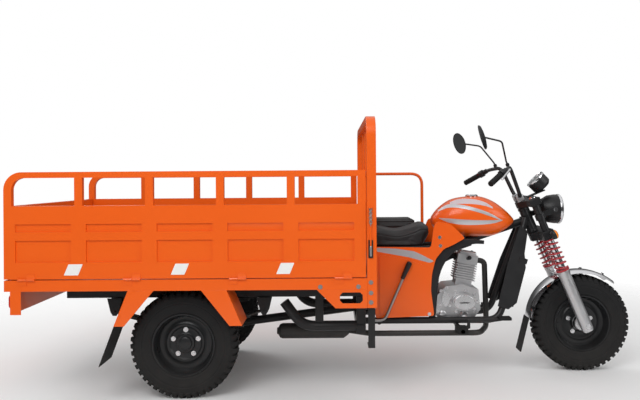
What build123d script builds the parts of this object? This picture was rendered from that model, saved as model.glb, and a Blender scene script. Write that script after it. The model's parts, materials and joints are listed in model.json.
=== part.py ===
from build123d import *

import os
from math import asin, cos, pi, radians, sin, tan

# Three-wheeled cargo motorcycle: a rider's front end on one steered wheel, and a
# drop-side cargo bed on a leaf-sprung rear axle. Millimetres, +X forward, +Y to the
# rider's left, +Z up. The origin is on the ground under the middle of the vehicle.

# Driving dimensions: wheels and stance
TYRE_RADIUS = 280.0
TYRE_WIDTH = 132.0
CROWN_WIDTH = 92.0
SHOULDER_DROP = 24.0
RIM_RADIUS = 160.0
RIM_INSET = 8.0
RIM_WALL = 9.0
DISC_THICKNESS = 10.0
HUB_RADIUS = 48.0
REAR_TRACK = 940.0
CAB_LENGTH = 1240.0
REAR_OVERHANG = 884.0

# Driving dimensions: cargo bed
BED_LENGTH = 1830.0
BED_WIDTH = 1250.0
SILL_BOTTOM = 580.0
SILL_HEIGHT = 56.0
SILL_WIDTH = 40.0
FLOOR_THICKNESS = 8.0
FLOOR_RISE = 4.0
JOIST_COUNT = 6
JOIST_WIDTH = 40.0
GATE_THICKNESS = 30.0
GATE_PANEL_HEIGHT = 370.0
GATE_RAIL_RISE = 172.0
GATE_RAIL_WIDTH = 30.0
GATE_POST_WIDTH = 40.0
GATE_BAYS = 5
GATE_CORNER = 90.0
PRESSING_DEPTH = 8.0
PRESSING_MARGIN = 38.0
UPPER_PRESSING = (238.0, 278.0)
LOWER_PRESSING = (84.0, 195.0)
TAILGATE_BAYS = 3
HEADBOARD_DEPTH = 55.0
HOOP_HEIGHT = 1463.0
HOOP_TUBE = 40.0
HOOP_CORNER = 100.0
WALL_THICKNESS = 30.0
GUARD_BAR_SHARE = 0.652
GUSSET_DROP = 95.0
GUSSET_LENGTH = 250.0
GUSSET_THICKNESS = 6.0

# Driving dimensions: hinges of the gates
HINGE_RADIUS = 6.0
HINGE_PIN_RADIUS = 3.0
HINGE_LENGTH = 86.0
HINGE_STRAP = 28.0
HINGE_STRAP_THICKNESS = 3.0
SIDE_HINGES = 4
TAIL_HINGES = 3
HINGE_INSET = 115.0
KNUCKLE_GAP = 0.5

# Driving dimensions: chassis
RAIL_Y = 340.0
RAIL_WIDTH = 40.0
RAIL_HEIGHT = 80.0
RAIL_REAR_INSET = 215.0
LOWER_RAIL_Z = 337.0
LOWER_RAIL_RADIUS = 28.0
CROSS_SIZE = 50.0
CROSS_Z = 320.0
CROSS_INSET = 70.0
TUBE_RADIUS = 19.0
CRADLE_Y = 130.0
ARCH_Y = 115.0
SPRING_WIDTH = 60.0
SPRING_HALF_SPAN = 405.0
SPRING_EYE_Z = 425.0
LEAF_THICKNESS = 8.0
LEAF_SHARES = (1.0, 0.8, 0.58, 0.36)
AXLE_TUBE_RADIUS = 38.0
SPINDLE_RADIUS = 22.0
DIFF_RADIUS = 105.0
DRUM_RADIUS = 100.0

# Driving dimensions: steering and front end
CASTER = 22.5
FORK_OFFSET = 45.0
FORK_Y = 122.0
SLIDER_RADIUS = 34.0
STANCHION_RADIUS = 21.0
SPRING_RADIUS = 39.0
SPRING_WIRE = 9.0
SPRING_TURNS = 6
STEM_RADIUS = 15.0
HEAD_RADIUS = 27.0
SLIDER_TOP = 347.0
LOWER_YOKE = (548.0, 598.0)
UPPER_YOKE = (757.0, 797.0)
YOKE_BOSS = 28.0
FRONT_SPINDLE_RADIUS = 10.0
FRONT_HUB_HALF = 68.0
FENDER_RADIUS = 313.0
FENDER_WIDTH = 150.0
FENDER_THICKNESS = 3.0
FENDER_LIP = 16.0
BAR_RADIUS = 11.0
GRIP_RADIUS = 17.0
LAMP_RADIUS = 88.0
GAUGE_RADIUS = 60.0
MIRROR_RADIUS = 70.0

# Flats round light tubes, and round lamps, mirrors and wheel discs
BAR_SIDES = 8
DISH_SIDES = 20
RIM_SIDES = 28
TYRE_SIDES = 40
COIL_SIDES = 10
KNUCKLE_SIDES = 6

# Clearances
GATE_GAP = 6.0
SEAT_GAP = 0.3
RUN_GAP = 0.05

# Places that follow from the sizes above
HINGE_REACH = 2 * HINGE_RADIUS
OVERALL_LENGTH = TYRE_RADIUS + CAB_LENGTH + HEADBOARD_DEPTH + BED_LENGTH + HINGE_REACH
FRONT_AXLE_X = OVERALL_LENGTH / 2 - TYRE_RADIUS
HEADBOARD_X = FRONT_AXLE_X - CAB_LENGTH
BED_FRONT_X = HEADBOARD_X - HEADBOARD_DEPTH
BED_REAR_X = BED_FRONT_X - BED_LENGTH
POST_REAR_X = BED_FRONT_X + GATE_GAP
REAR_AXLE_X = BED_REAR_X + REAR_OVERHANG
REAR_WHEEL_Y = REAR_TRACK / 2
BED_Y = BED_WIDTH / 2
SILL_INNER_Y = BED_Y - SILL_WIDTH
SILL_TOP = SILL_BOTTOM + SILL_HEIGHT
FLOOR_TOP = SILL_TOP + FLOOR_RISE
FLOOR_BOTTOM = FLOOR_TOP - FLOOR_THICKNESS
GATE_BOTTOM = SILL_TOP + GATE_GAP
PANEL_TOP = GATE_BOTTOM + GATE_PANEL_HEIGHT
RAIL_TOP = PANEL_TOP + GATE_RAIL_RISE
PIN_Z = (SILL_TOP + GATE_BOTTOM) / 2
RAIL_BOTTOM = SILL_BOTTOM - RAIL_HEIGHT
RAIL_REAR_X = BED_REAR_X + RAIL_REAR_INSET
CROSS_X = HEADBOARD_X - CROSS_INSET
SPRING_RISE = SPRING_EYE_Z - (TYRE_RADIUS + AXLE_TUBE_RADIUS + len(LEAF_SHARES) * LEAF_THICKNESS)

STEER = Plane(
    origin=(
        FRONT_AXLE_X - FORK_OFFSET * cos(radians(CASTER)),
        0,
        TYRE_RADIUS - FORK_OFFSET * sin(radians(CASTER)),
    ),
    x_dir=(cos(radians(CASTER)), 0, sin(radians(CASTER))),
    z_dir=(-sin(radians(CASTER)), 0, cos(radians(CASTER))),
)


# Small helpers for placing solids
def block(x, y, z):
    """Box between two limits on each axis."""
    size = Box(x[1] - x[0], y[1] - y[0], z[1] - z[0])
    return Pos((x[0] + x[1]) / 2, (y[0] + y[1]) / 2, (z[0] + z[1]) / 2) * size


def rod(start, end, radius):
    """Round bar between two points."""
    along = Vector(*end) - Vector(*start)
    bar = Cylinder(radius, along.length, align=(Align.CENTER, Align.CENTER, Align.MIN))
    return Plane(origin=start, z_dir=along) * bar


def flats(radius):
    """Section of a light tube: a round drawn as flats that lie at its radius."""
    return RegularPolygon(radius, BAR_SIDES, major_radius=False, rotation=180 / BAR_SIDES)


def bar(start, end, radius):
    """Bar between two points with flats in place of a round surface, to keep its mesh light."""
    along = Vector(*end) - Vector(*start)
    return Plane(origin=start, z_dir=along) * extrude(flats(radius), along.length)


def pipe(points, bend, radius):
    """Bent tube with flats round it; each bend is two mitred chords of its arc."""
    corners = [Vector(*point) for point in points]
    path = [corners[0]]
    for before, corner, after in zip(corners, corners[1:], corners[2:]):
        arrive = (corner - before).normalized()
        leave = (after - corner).normalized()
        half = radians(arrive.get_angle(leave) / 2)
        path.append(corner - arrive * bend * tan(half))
        path.append(corner + (leave - arrive).normalized() * bend * (1 / cos(half) - 1))
        path.append(corner + leave * bend * tan(half))
    path.append(corners[-1])
    section = Plane(origin=path[0], z_dir=path[1] - path[0]) * flats(radius)
    return sweep(section, Polyline(*path), transition=Transition.RIGHT)


def skin(rings):
    """Solid with flat faces through rings of corner points that have parallel sides."""
    faces = [Face(Wire.make_polygon(rings[0])), Face(Wire.make_polygon(rings[-1]))]
    for lower, upper in zip(rings, rings[1:]):
        for i in range(len(lower)):
            j = (i + 1) % len(lower)
            faces.append(Face(Wire.make_polygon([lower[i], lower[j], upper[j], upper[i]])))
    return Part() + Solid(Shell(faces))


def coil_skin(rings):
    """Solid through four-cornered rings that turn along a coil, each side split into two triangles."""
    faces = [Face(Wire.make_polygon(rings[0])), Face(Wire.make_polygon(rings[-1]))]
    for lower, upper in zip(rings, rings[1:]):
        for i in range(len(lower)):
            j = (i + 1) % len(lower)
            faces.append(Face(Wire.make_polygon([lower[i], lower[j], upper[j]])))
            faces.append(Face(Wire.make_polygon([lower[i], upper[j], upper[i]])))
    return Part() + Solid(Shell(faces))


def dish(profile, place, sides=DISH_SIDES):
    """Round solid from radius and height pairs along Z, with flats round it that lie at each radius."""
    grow = 1 / cos(pi / sides)
    turns = [2 * pi * (step + 0.5) / sides for step in range(sides)]
    rings = []
    for radius, height in profile:
        rings.append([Vector(radius * grow * cos(a), radius * grow * sin(a), height) for a in turns])
    return place * skin(rings)


def outline(points):
    """Closed flat face through corner points."""
    return make_face(Polyline(*points, close=True))


def side_plate(face, y):
    """Face drawn in X and Z, made into a plate between two Y limits."""
    return Pos(0, y[1], 0) * extrude(Plane.XZ * face, y[1] - y[0])


def cross_plate(face, x):
    """Face drawn in Y and Z, made into a plate between two X limits."""
    return Pos(x[0], 0, 0) * extrude(Plane.YZ * face, x[1] - x[0])


def flipped(shape):
    """Copy on the other side of the vehicle."""
    return mirror(shape, about=Plane.XZ)


def both_sides(shape):
    """The shape and its copy on the other side."""
    return shape + flipped(shape)


def turned(points, centre):
    """Profile in radius and Y, revolved about the Y axis through a centre."""
    return Pos(*centre) * revolve(outline(points), Axis.Y)


# Wheels
def across(centre):
    """Plane whose Z axis is the wheel axis through a centre."""
    return Plane(origin=centre, x_dir=(1, 0, 0), z_dir=(0, 1, 0))


def tyre(centre):
    """Tyre with flat sidewalls, a chamfer from each to the crown, and a flat of the crown on the ground."""
    crown, wall = CROWN_WIDTH / 2, TYRE_WIDTH / 2
    shoulder = TYRE_RADIUS - SHOULDER_DROP
    profile = [(shoulder, -wall), (TYRE_RADIUS, -crown), (TYRE_RADIUS, crown), (shoulder, wall)]
    hole = dish([(RIM_RADIUS, -wall), (RIM_RADIUS, wall)], across(centre), RIM_SIDES)
    return dish(profile, across(centre), TYRE_SIDES) - hole


def wheel(centre, disc, hub, bore):
    """Pressed steel wheel: barrel, disc and bored hub.

    disc and hub are limits along Y from the wheel's middle, for a wheel whose
    outer side is towards -Y; bore is the spindle hole's radius and Y limits.
    """
    seat = RIM_RADIUS - SEAT_GAP
    edge = TYRE_WIDTH / 2 - RIM_INSET
    inner = seat - RIM_WALL
    body = dish([(seat, -edge), (seat, edge)], Pos(), RIM_SIDES)
    body -= dish([(inner, -edge), (inner, disc[0])], Pos(), RIM_SIDES)
    body -= dish([(inner, disc[1]), (inner, edge)], Pos(), RIM_SIDES)
    body += dish([(HUB_RADIUS, hub[0]), (HUB_RADIUS, hub[1])], Pos())
    radius, low, high = bore
    body -= Pos(0, 0, low) * extrude(Circle(radius), high - low)
    return across(centre) * body


FRONT_CENTRE = (FRONT_AXLE_X, 0, TYRE_RADIUS)
RIGHT_CENTRE = (REAR_AXLE_X, -REAR_WHEEL_Y, TYRE_RADIUS)
REAR_DISC = (6.0, 6.0 + DISC_THICKNESS)
REAR_HUB = (-14.0, 40.0)
HUB_INNER_Y = REAR_WHEEL_Y - REAR_HUB[1]
SPINDLE_END_Y = REAR_WHEEL_Y - REAR_HUB[0] - 12.0


def front_wheel():
    disc = (-DISC_THICKNESS / 2, DISC_THICKNESS / 2)
    hub = (-FRONT_HUB_HALF, FRONT_HUB_HALF)
    return wheel(FRONT_CENTRE, disc, hub, (FRONT_SPINDLE_RADIUS + RUN_GAP, *hub))


def rear_wheel():
    """Right rear wheel; its disc is dished towards the axle."""
    bore = (SPINDLE_RADIUS + RUN_GAP, REAR_WHEEL_Y - SPINDLE_END_Y - RUN_GAP, REAR_HUB[1])
    return wheel(RIGHT_CENTRE, REAR_DISC, REAR_HUB, bore)


# Cargo bed
def hinge_stations(length, count):
    """Middle of each hinge along a gate, from the gate's middle."""
    pitch = (length - 2 * HINGE_INSET) / (count - 1)
    return [HINGE_INSET - length / 2 + pitch * i for i in range(count)]


KNUCKLE = HINGE_LENGTH / 2


def hinge_bar(low, high, radius):
    """Bar along the X axis with a corner towards +Y, for a knuckle or a pin."""
    place = Plane(origin=(low, 0, 0), x_dir=(0, 1, 0), z_dir=(1, 0, 0))
    return place * extrude(RegularPolygon(radius, KNUCKLE_SIDES), high - low)


def hinge_leaf(low, high, rise):
    """Knuckle with its strap, along X with the pin on the X axis; rise is the strap's Z limit."""
    strap = block((low, high), (HINGE_RADIUS - HINGE_STRAP_THICKNESS, HINGE_RADIUS), sorted((0, rise)))
    return hinge_bar(low, high, HINGE_RADIUS) + strap


def fixed_hinge(at):
    """Hinge half on a sill: a knuckle with a pin that stands out of it."""
    leaf = hinge_leaf(at - KNUCKLE, at - KNUCKLE_GAP, -HINGE_STRAP)
    return leaf + hinge_bar(at - KNUCKLE_GAP, at + KNUCKLE, HINGE_PIN_RADIUS)


def moving_hinge(at):
    """Hinge half on a gate: a knuckle bored for the pin."""
    leaf = hinge_leaf(at + KNUCKLE_GAP, at + KNUCKLE, HINGE_STRAP)
    bore = (HINGE_PIN_RADIUS + RUN_GAP) / cos(pi / KNUCKLE_SIDES)
    return leaf - hinge_bar(at, at + HINGE_LENGTH, bore)


RIGHT_HINGE_LINE = Pos((BED_REAR_X + BED_FRONT_X) / 2, -BED_Y - HINGE_RADIUS, PIN_Z)
TAIL_HINGE_LINE = Pos(BED_REAR_X - HINGE_RADIUS, 0, PIN_Z) * Rot(0, 0, -90)


def pressed_gate(length, bays, height):
    """Gate wall standing on Z 0 with its outer face at Y 0, pressed into bays on the outside."""
    wall = block((-length / 2, length / 2), (0, GATE_THICKNESS), (0, height))
    pitch = (length - GATE_POST_WIDTH) / bays
    for bay in range(bays):
        middle = -length / 2 + GATE_POST_WIDTH / 2 + pitch * (bay + 0.5)
        half = pitch / 2 - PRESSING_MARGIN
        for low, high in (LOWER_PRESSING, UPPER_PRESSING):
            wall -= block((middle - half, middle + half), (-1, PRESSING_DEPTH), (low, high))
    return wall


def gate_rail(length):
    """Guard rail above a side gate: end posts, a top rail with one rounded corner, and posts between the bays."""
    top = GATE_RAIL_RISE
    pitch = (length - GATE_POST_WIDTH) / GATE_BAYS
    frame = outline([(-length / 2, 0), (length / 2, 0), (length / 2, top), (-length / 2, top)])
    corner = frame.vertices().sort_by(Axis.Y)[-2:].sort_by(Axis.X)[0]
    frame = fillet(corner, GATE_CORNER)
    for bay in range(GATE_BAYS):
        start = -length / 2 + GATE_POST_WIDTH + pitch * bay
        end = start + pitch - GATE_POST_WIDTH
        window = outline([(start, 0), (end, 0), (end, top - GATE_RAIL_WIDTH), (start, top - GATE_RAIL_WIDTH)])
        if bay == 0:
            inner = window.vertices().sort_by(Axis.Y)[-2:].sort_by(Axis.X)[0]
            window = fillet(inner, GATE_CORNER - GATE_RAIL_WIDTH)
        frame -= window
    return side_plate(frame, (0, GATE_THICKNESS))


def side_gate():
    """Right side gate, hinged along its bottom edge."""
    length = BED_LENGTH
    gate = pressed_gate(length, GATE_BAYS, GATE_PANEL_HEIGHT)
    gate += Pos(0, 0, GATE_PANEL_HEIGHT) * gate_rail(length)
    gate = Pos((BED_REAR_X + BED_FRONT_X) / 2, -BED_Y, GATE_BOTTOM) * gate
    for at in hinge_stations(length, SIDE_HINGES):
        gate += RIGHT_HINGE_LINE * moving_hinge(at)
    return gate


def tailgate():
    """Rear gate between the side gates, hinged along its bottom edge."""
    width = BED_WIDTH - 2 * GATE_THICKNESS - 2 * GATE_GAP
    gate = Pos(BED_REAR_X, 0, GATE_BOTTOM) * Rot(0, 0, -90) * pressed_gate(width, TAILGATE_BAYS, GATE_PANEL_HEIGHT)
    for at in hinge_stations(width, TAIL_HINGES):
        gate += TAIL_HINGE_LINE * moving_hinge(at)
    return gate


def bed_sills():
    """Side and rear sills with the fixed halves of the gate hinges."""
    side = block((BED_REAR_X, POST_REAR_X), (-BED_Y, -SILL_INNER_Y), (SILL_BOTTOM, SILL_TOP))
    for at in hinge_stations(BED_LENGTH, SIDE_HINGES):
        side += RIGHT_HINGE_LINE * fixed_hinge(at)
    rear = block((BED_REAR_X, BED_REAR_X + SILL_WIDTH), (-SILL_INNER_Y, SILL_INNER_Y), (SILL_BOTTOM, SILL_TOP))
    for at in hinge_stations(BED_WIDTH - 2 * GATE_THICKNESS - 2 * GATE_GAP, TAIL_HINGES):
        rear += TAIL_HINGE_LINE * fixed_hinge(at)
    return both_sides(side) + rear


def bed_floor():
    return block(
        (BED_REAR_X + SILL_WIDTH, POST_REAR_X), (-SILL_INNER_Y, SILL_INNER_Y), (FLOOR_BOTTOM, FLOOR_TOP)
    )


def bed_joists():
    """Cross bearers between the chassis rails and the floor."""
    first, last = BED_REAR_X + 3 * SILL_WIDTH, BED_FRONT_X - JOIST_WIDTH
    pitch = (last - first) / (JOIST_COUNT - 1)
    joists = None
    for i in range(JOIST_COUNT):
        x = first + pitch * i
        joist = block((x - JOIST_WIDTH / 2, x + JOIST_WIDTH / 2), (-SILL_INNER_Y, SILL_INNER_Y), (SILL_BOTTOM, FLOOR_BOTTOM))
        joists = joist if joists is None else joists + joist
    return joists


HOOP_INNER_Y = BED_Y - HOOP_TUBE
HOOP_FOOT = SILL_BOTTOM - GUSSET_DROP
WALL_X = (HEADBOARD_X - WALL_THICKNESS, HEADBOARD_X)


def headboard():
    """Front hoop of the bed, bent from one tube that stands outside the sills."""
    tall = HOOP_HEIGHT - HOOP_FOOT
    outer = Pos(0, HOOP_FOOT + tall / 2) * Rectangle(BED_WIDTH, tall)
    outer = fillet(outer.vertices().sort_by(Axis.Y)[-2:], HOOP_CORNER)
    inner = Pos(0, HOOP_FOOT + (tall - HOOP_TUBE) / 2) * Rectangle(2 * HOOP_INNER_Y, tall - HOOP_TUBE)
    inner = fillet(inner.vertices().sort_by(Axis.Y)[-2:], HOOP_CORNER - HOOP_TUBE)
    return cross_plate(outer - inner, (POST_REAR_X, HEADBOARD_X))


def headboard_wall():
    """Sheet wall between the hoop's posts."""
    side = HOOP_INNER_Y - SEAT_GAP
    return block(WALL_X, (-side, side), (SILL_BOTTOM, PANEL_TOP))


def headboard_bars():
    """Guard bars above the wall: one across, with short uprights below and above it."""
    side = HOOP_INNER_Y - SEAT_GAP
    middle = HOOP_HEIGHT - (HOOP_HEIGHT - PANEL_TOP) * GUARD_BAR_SHARE
    cross = (middle - GATE_RAIL_WIDTH / 2, middle + GATE_RAIL_WIDTH / 2)
    runs = ((PANEL_TOP, cross[0]), (cross[1], HOOP_HEIGHT - HOOP_TUBE))
    bars = block(WALL_X, (-side, side), cross)
    for share in (-0.5, 0.0, 0.5):
        y = (share * HOOP_INNER_Y - GATE_RAIL_WIDTH / 2, share * HOOP_INNER_Y + GATE_RAIL_WIDTH / 2)
        for low, high in runs:
            bars += block(WALL_X, y, (low + SEAT_GAP, high - SEAT_GAP))
    return bars


def headboard_brackets():
    """Slotted plates that tie the hoop's feet to the sills."""
    back, front = BED_FRONT_X - GUSSET_LENGTH, POST_REAR_X - SEAT_GAP
    top = SILL_BOTTOM - SEAT_GAP
    face = outline([(back, top), (back + GUSSET_DROP, HOOP_FOOT), (front, HOOP_FOOT), (front, top)])
    middle = Pos((back + GUSSET_DROP + front) / 2, SILL_BOTTOM - GUSSET_DROP * 0.45)
    slot = Rectangle(GUSSET_LENGTH * 0.46, GUSSET_DROP * 0.58)
    face -= middle * chamfer(slot.vertices(), GUSSET_DROP * 0.14)
    return both_sides(side_plate(face, (-BED_Y, -BED_Y + GUSSET_THICKNESS)))


SKIRT_THICKNESS = 4.0
SKIRT_RAIL_GAP = 65.0
SKIRT_INNER_Y = RAIL_Y + RAIL_WIDTH / 2 + SKIRT_RAIL_GAP
SKIRT_DROP = 180.0
FLAP_THICKNESS = 5.0


def skirt(top, bottom, edge):
    """Rear mudguard piece: an outer plate and the slanted inner plate along one edge.

    top and bottom are its X limits at the sill and at its lower end, from the axle;
    edge is 0 for the slanted plate at the rear edge or 1 for the front edge.
    """
    high, low = SILL_BOTTOM, SILL_BOTTOM - SKIRT_DROP
    x_top = [REAR_AXLE_X + v for v in top]
    x_low = [REAR_AXLE_X + v for v in bottom]
    face = outline([(x_top[0], high), (x_top[1], high), (x_low[1], low), (x_low[0], low)])
    plate = side_plate(face, (-BED_Y, -BED_Y + SKIRT_THICKNESS))
    inward = SKIRT_THICKNESS if edge == 0 else -SKIRT_THICKNESS
    a, b = x_top[edge], x_low[edge]
    strip = outline([(a, high), (a + inward, high), (b + inward, low), (b, low)])
    return plate + side_plate(strip, (-BED_Y, -SKIRT_INNER_Y))


FRONT_SKIRT = ((111.0, 240.0), (254.0, 318.0))
REAR_SKIRT = ((-260.0, -129.0), (-333.0, -280.0))


def wheel_skirts():
    return both_sides(skirt(*FRONT_SKIRT, 1) + skirt(*REAR_SKIRT, 0))


def rear_flaps():
    """Rubber flaps hung behind the rear wheels on the mudguards' slanted plates."""
    top_x = REAR_AXLE_X + REAR_SKIRT[1][0]
    top_z = SILL_BOTTOM - SKIRT_DROP
    length, lean = 205.0, 78.0
    face = outline([
        (top_x, top_z), (top_x + FLAP_THICKNESS, top_z),
        (top_x + FLAP_THICKNESS - lean, top_z - length), (top_x - lean, top_z - length),
    ])
    return both_sides(side_plate(face, (-BED_Y + SKIRT_THICKNESS, -SKIRT_INNER_Y)))


REAR_PANEL_DROP = 118.0
REAR_PANEL_INSET = 30.0
PLATE_HOLE_PITCH = 150.0
PLATE_HOLE_RADIUS = 3.5
PLATE_HOLE_Z = SILL_BOTTOM - REAR_PANEL_DROP / 2


def rear_panel():
    """Rear apron below the sill, with returns at its ends and two holes for a number plate."""
    x = BED_REAR_X + REAR_PANEL_INSET
    z = (SILL_BOTTOM - REAR_PANEL_DROP, SILL_BOTTOM)
    panel = block((x, x + SKIRT_THICKNESS), (-BED_Y, BED_Y), z)
    returned = block((x, x + 55), (-BED_Y, -BED_Y + SKIRT_THICKNESS), z)
    panel += both_sides(returned)
    for y in (-PLATE_HOLE_PITCH / 2, PLATE_HOLE_PITCH / 2):
        panel -= rod((x - 1, y, PLATE_HOLE_Z), (x + SKIRT_THICKNESS + 1, y, PLATE_HOLE_Z), PLATE_HOLE_RADIUS)
    return panel


def tail_lamps():
    x = BED_REAR_X + REAR_PANEL_INSET
    lens = block((x - 26, x), (-BED_Y + 40, -BED_Y + 190), (PLATE_HOLE_Z - 32, PLATE_HOLE_Z + 32))
    lens = chamfer(lens.edges().filter_by(Axis.X), 10)
    return both_sides(lens)


def side_steps():
    """Flat bars that hang from the headboard's posts as mounting steps."""
    foot = SILL_BOTTOM - GUSSET_DROP
    bar = block((HEADBOARD_X - 45, HEADBOARD_X - 10), (-BED_Y + 12, -BED_Y + 22), (foot - 205, foot))
    tread = block((HEADBOARD_X - 45, HEADBOARD_X - 10), (-BED_Y + 12, -BED_Y + 110), (foot - 205, foot - 197))
    return both_sides(bar + tread)


# Chassis
def frame_rails():
    rail = block(
        (RAIL_REAR_X, HEADBOARD_X), (-RAIL_Y - RAIL_WIDTH / 2, -RAIL_Y + RAIL_WIDTH / 2), (RAIL_BOTTOM, SILL_BOTTOM)
    )
    return both_sides(rail)


RAIL_SWEEP_X = REAR_AXLE_X + SPRING_HALF_SPAN + 85.0


def lower_rails():
    """Tubes that sweep down from the rails to the cross-member, each with an upright brace."""
    end_x = CROSS_X - CROSS_SIZE / 2
    top = (RAIL_SWEEP_X - 40, -RAIL_Y, RAIL_BOTTOM + 60)
    knee = (RAIL_SWEEP_X + 120, -RAIL_Y, LOWER_RAIL_Z)
    tube = pipe([top, knee, (end_x, -RAIL_Y, LOWER_RAIL_Z)], 150, LOWER_RAIL_RADIUS)
    tube -= block((top[0] - 200, end_x), (-RAIL_Y - 100, -RAIL_Y + 100), (RAIL_BOTTOM, RAIL_BOTTOM + 200))
    brace = block((end_x - 225, end_x - 180), (-RAIL_Y - 15, -RAIL_Y + 15), (LOWER_RAIL_Z, RAIL_BOTTOM))
    return both_sides(tube + brace)


ARCH_X = FRONT_AXLE_X - 890.0
CRADLE_FRONT_X = FRONT_AXLE_X - 505.0
HEAD_LOW = LOWER_YOKE[1] + 4.0
HEAD_HIGH = UPPER_YOKE[0] - 4.0
SEAT_RAIL_Z = 735.0
SEAT_TUBE_RADIUS = 15.0
SEAT_LEG_FOOT_X = HEADBOARD_X + 60.0
SEAT_LEG_LEAN = 30.0


def on_steer(x, y, z):
    """Point given along the steering axis, in the vehicle's frame."""
    return tuple(STEER.from_local_coords(Vector(x, y, z)))


BACKBONE_RADIUS = 23.0
BACKBONE_REAR = (FRONT_AXLE_X - 665.0, 768.0)
HEAD_MIDDLE = on_steer(0, 0, (HEAD_LOW + HEAD_HIGH) / 2)
BACKBONE_FRONT = (HEAD_MIDDLE[0], HEAD_MIDDLE[2])
DOWN_TUBE_Y = 30.0
DOWN_TUBE_TOP = on_steer(-14, 0, HEAD_LOW + 92)


def front_frame():
    """Rider's frame: head tube, backbone, cradle and down tubes, arch tubes and seat tubes."""
    head_low = on_steer(0, 0, HEAD_LOW)
    frame = rod(head_low, on_steer(0, 0, HEAD_HIGH), HEAD_RADIUS)
    tie_x, tie_z = BACKBONE_REAR
    frame += bar(HEAD_MIDDLE, (tie_x, 0, tie_z), BACKBONE_RADIUS)
    frame += bar((tie_x, -ARCH_Y, 765), (tie_x, ARCH_Y, 765), SEAT_TUBE_RADIUS)
    cross_front = CROSS_X + CROSS_SIZE / 2
    down_top = (DOWN_TUBE_TOP[0], -DOWN_TUBE_Y, DOWN_TUBE_TOP[2])
    sides = pipe(
        [(cross_front - 5, -CRADLE_Y, CROSS_Z), (CRADLE_FRONT_X, -CRADLE_Y, CROSS_Z), down_top], 90, TUBE_RADIUS
    )
    sides += pipe(
        [(tie_x, -ARCH_Y, 765), (ARCH_X + 37, -ARCH_Y, 700), (ARCH_X, -ARCH_Y, CROSS_Z)], 110, TUBE_RADIUS
    )
    sides += bar((ARCH_X, -ARCH_Y, CROSS_Z), (ARCH_X, -CRADLE_Y, CROSS_Z), TUBE_RADIUS)
    sides += bar((HEADBOARD_X, -ARCH_Y, SEAT_RAIL_Z), (ARCH_X + 130, -ARCH_Y, SEAT_RAIL_Z), SEAT_TUBE_RADIUS)
    leg_top = (SEAT_LEG_FOOT_X + SEAT_LEG_LEAN, -ARCH_Y, SEAT_RAIL_Z)
    sides += bar(leg_top, (SEAT_LEG_FOOT_X, -CRADLE_Y, CROSS_Z), SEAT_TUBE_RADIUS)
    frame += both_sides(sides)
    half = CROSS_SIZE / 2
    reach = RAIL_Y + LOWER_RAIL_RADIUS
    frame += block((CROSS_X - half, CROSS_X + half), (-reach, reach), (CROSS_Z - half, CROSS_Z + half))
    post = block((CROSS_X - half, CROSS_X + half), (-RAIL_Y - 20, -RAIL_Y + 20), (CROSS_Z, RAIL_BOTTOM))
    frame += both_sides(post)
    return frame - rod(on_steer(0, 0, HEAD_LOW - 100), on_steer(0, 0, HEAD_HIGH + 100), STEM_RADIUS + RUN_GAP)




def leaf_pack():
    """Right leaf spring: leaves stepped off on one curve, with an eye at each end of the main leaf."""
    bend = (SPRING_HALF_SPAN**2 + SPRING_RISE**2) / (2 * SPRING_RISE)
    reaches = [asin(share * SPRING_HALF_SPAN / bend) for share in LEAF_SHARES]

    def on_leaf(level, angle):
        radius = bend + level * LEAF_THICKNESS
        return (radius * sin(angle), bend - radius * cos(angle))

    upper = [on_leaf(-1, angle) for angle in sorted([-reach for reach in reaches] + [0] + reaches)]
    steps = [on_leaf(0, reaches[0])]
    for level, reach in enumerate(reaches[1:]):
        steps += [on_leaf(level, reach), on_leaf(level + 1, reach)]
    lowest = on_leaf(len(reaches) - 1, 0)
    pack = outline(upper + steps + [lowest] + [(-x, z) for x, z in reversed(steps)])
    for side in (-1, 1):
        pack += Pos(side * SPRING_HALF_SPAN, SPRING_RISE) * flats(SPRING_EYE_RADIUS)
    for side in (-1, 1):
        pack -= Pos(side * SPRING_HALF_SPAN, SPRING_RISE) * RegularPolygon(EYE_BOLT_RADIUS + SEAT_GAP, 6)
    half = SPRING_WIDTH / 2
    return Pos(REAR_AXLE_X, 0, SPRING_EYE_Z - SPRING_RISE) * side_plate(pack, (-RAIL_Y - half, -RAIL_Y + half))


SPRING_EYE_RADIUS = 17.0
EYE_BOLT_RADIUS = 8.0
HANGER_THICKNESS = 6.0


def leaf_springs():
    return both_sides(leaf_pack())


def spring_hangers():
    """Hanger plates and bolts that carry the spring eyes under the rails."""
    half = SPRING_WIDTH / 2 + SEAT_GAP
    outer = half + HANGER_THICKNESS
    hangers = None
    for side in (-1, 1):
        x = REAR_AXLE_X + side * SPRING_HALF_SPAN
        z = SPRING_EYE_Z
        face = outline([
            (x - 40, RAIL_BOTTOM), (x + 40, RAIL_BOTTOM), (x + 22, z), (x + 10, z - 20), (x - 10, z - 20), (x - 22, z),
        ])
        hanger = side_plate(face, (-RAIL_Y - outer, -RAIL_Y - half)) + side_plate(face, (-RAIL_Y + half, -RAIL_Y + outer))
        bolt = Pos(x, z) * RegularPolygon(EYE_BOLT_RADIUS, 6)
        hanger += side_plate(bolt, (-RAIL_Y - outer - 8, -RAIL_Y + outer + 8))
        hangers = hanger if hangers is None else hangers + hanger
    return both_sides(hangers)


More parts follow.
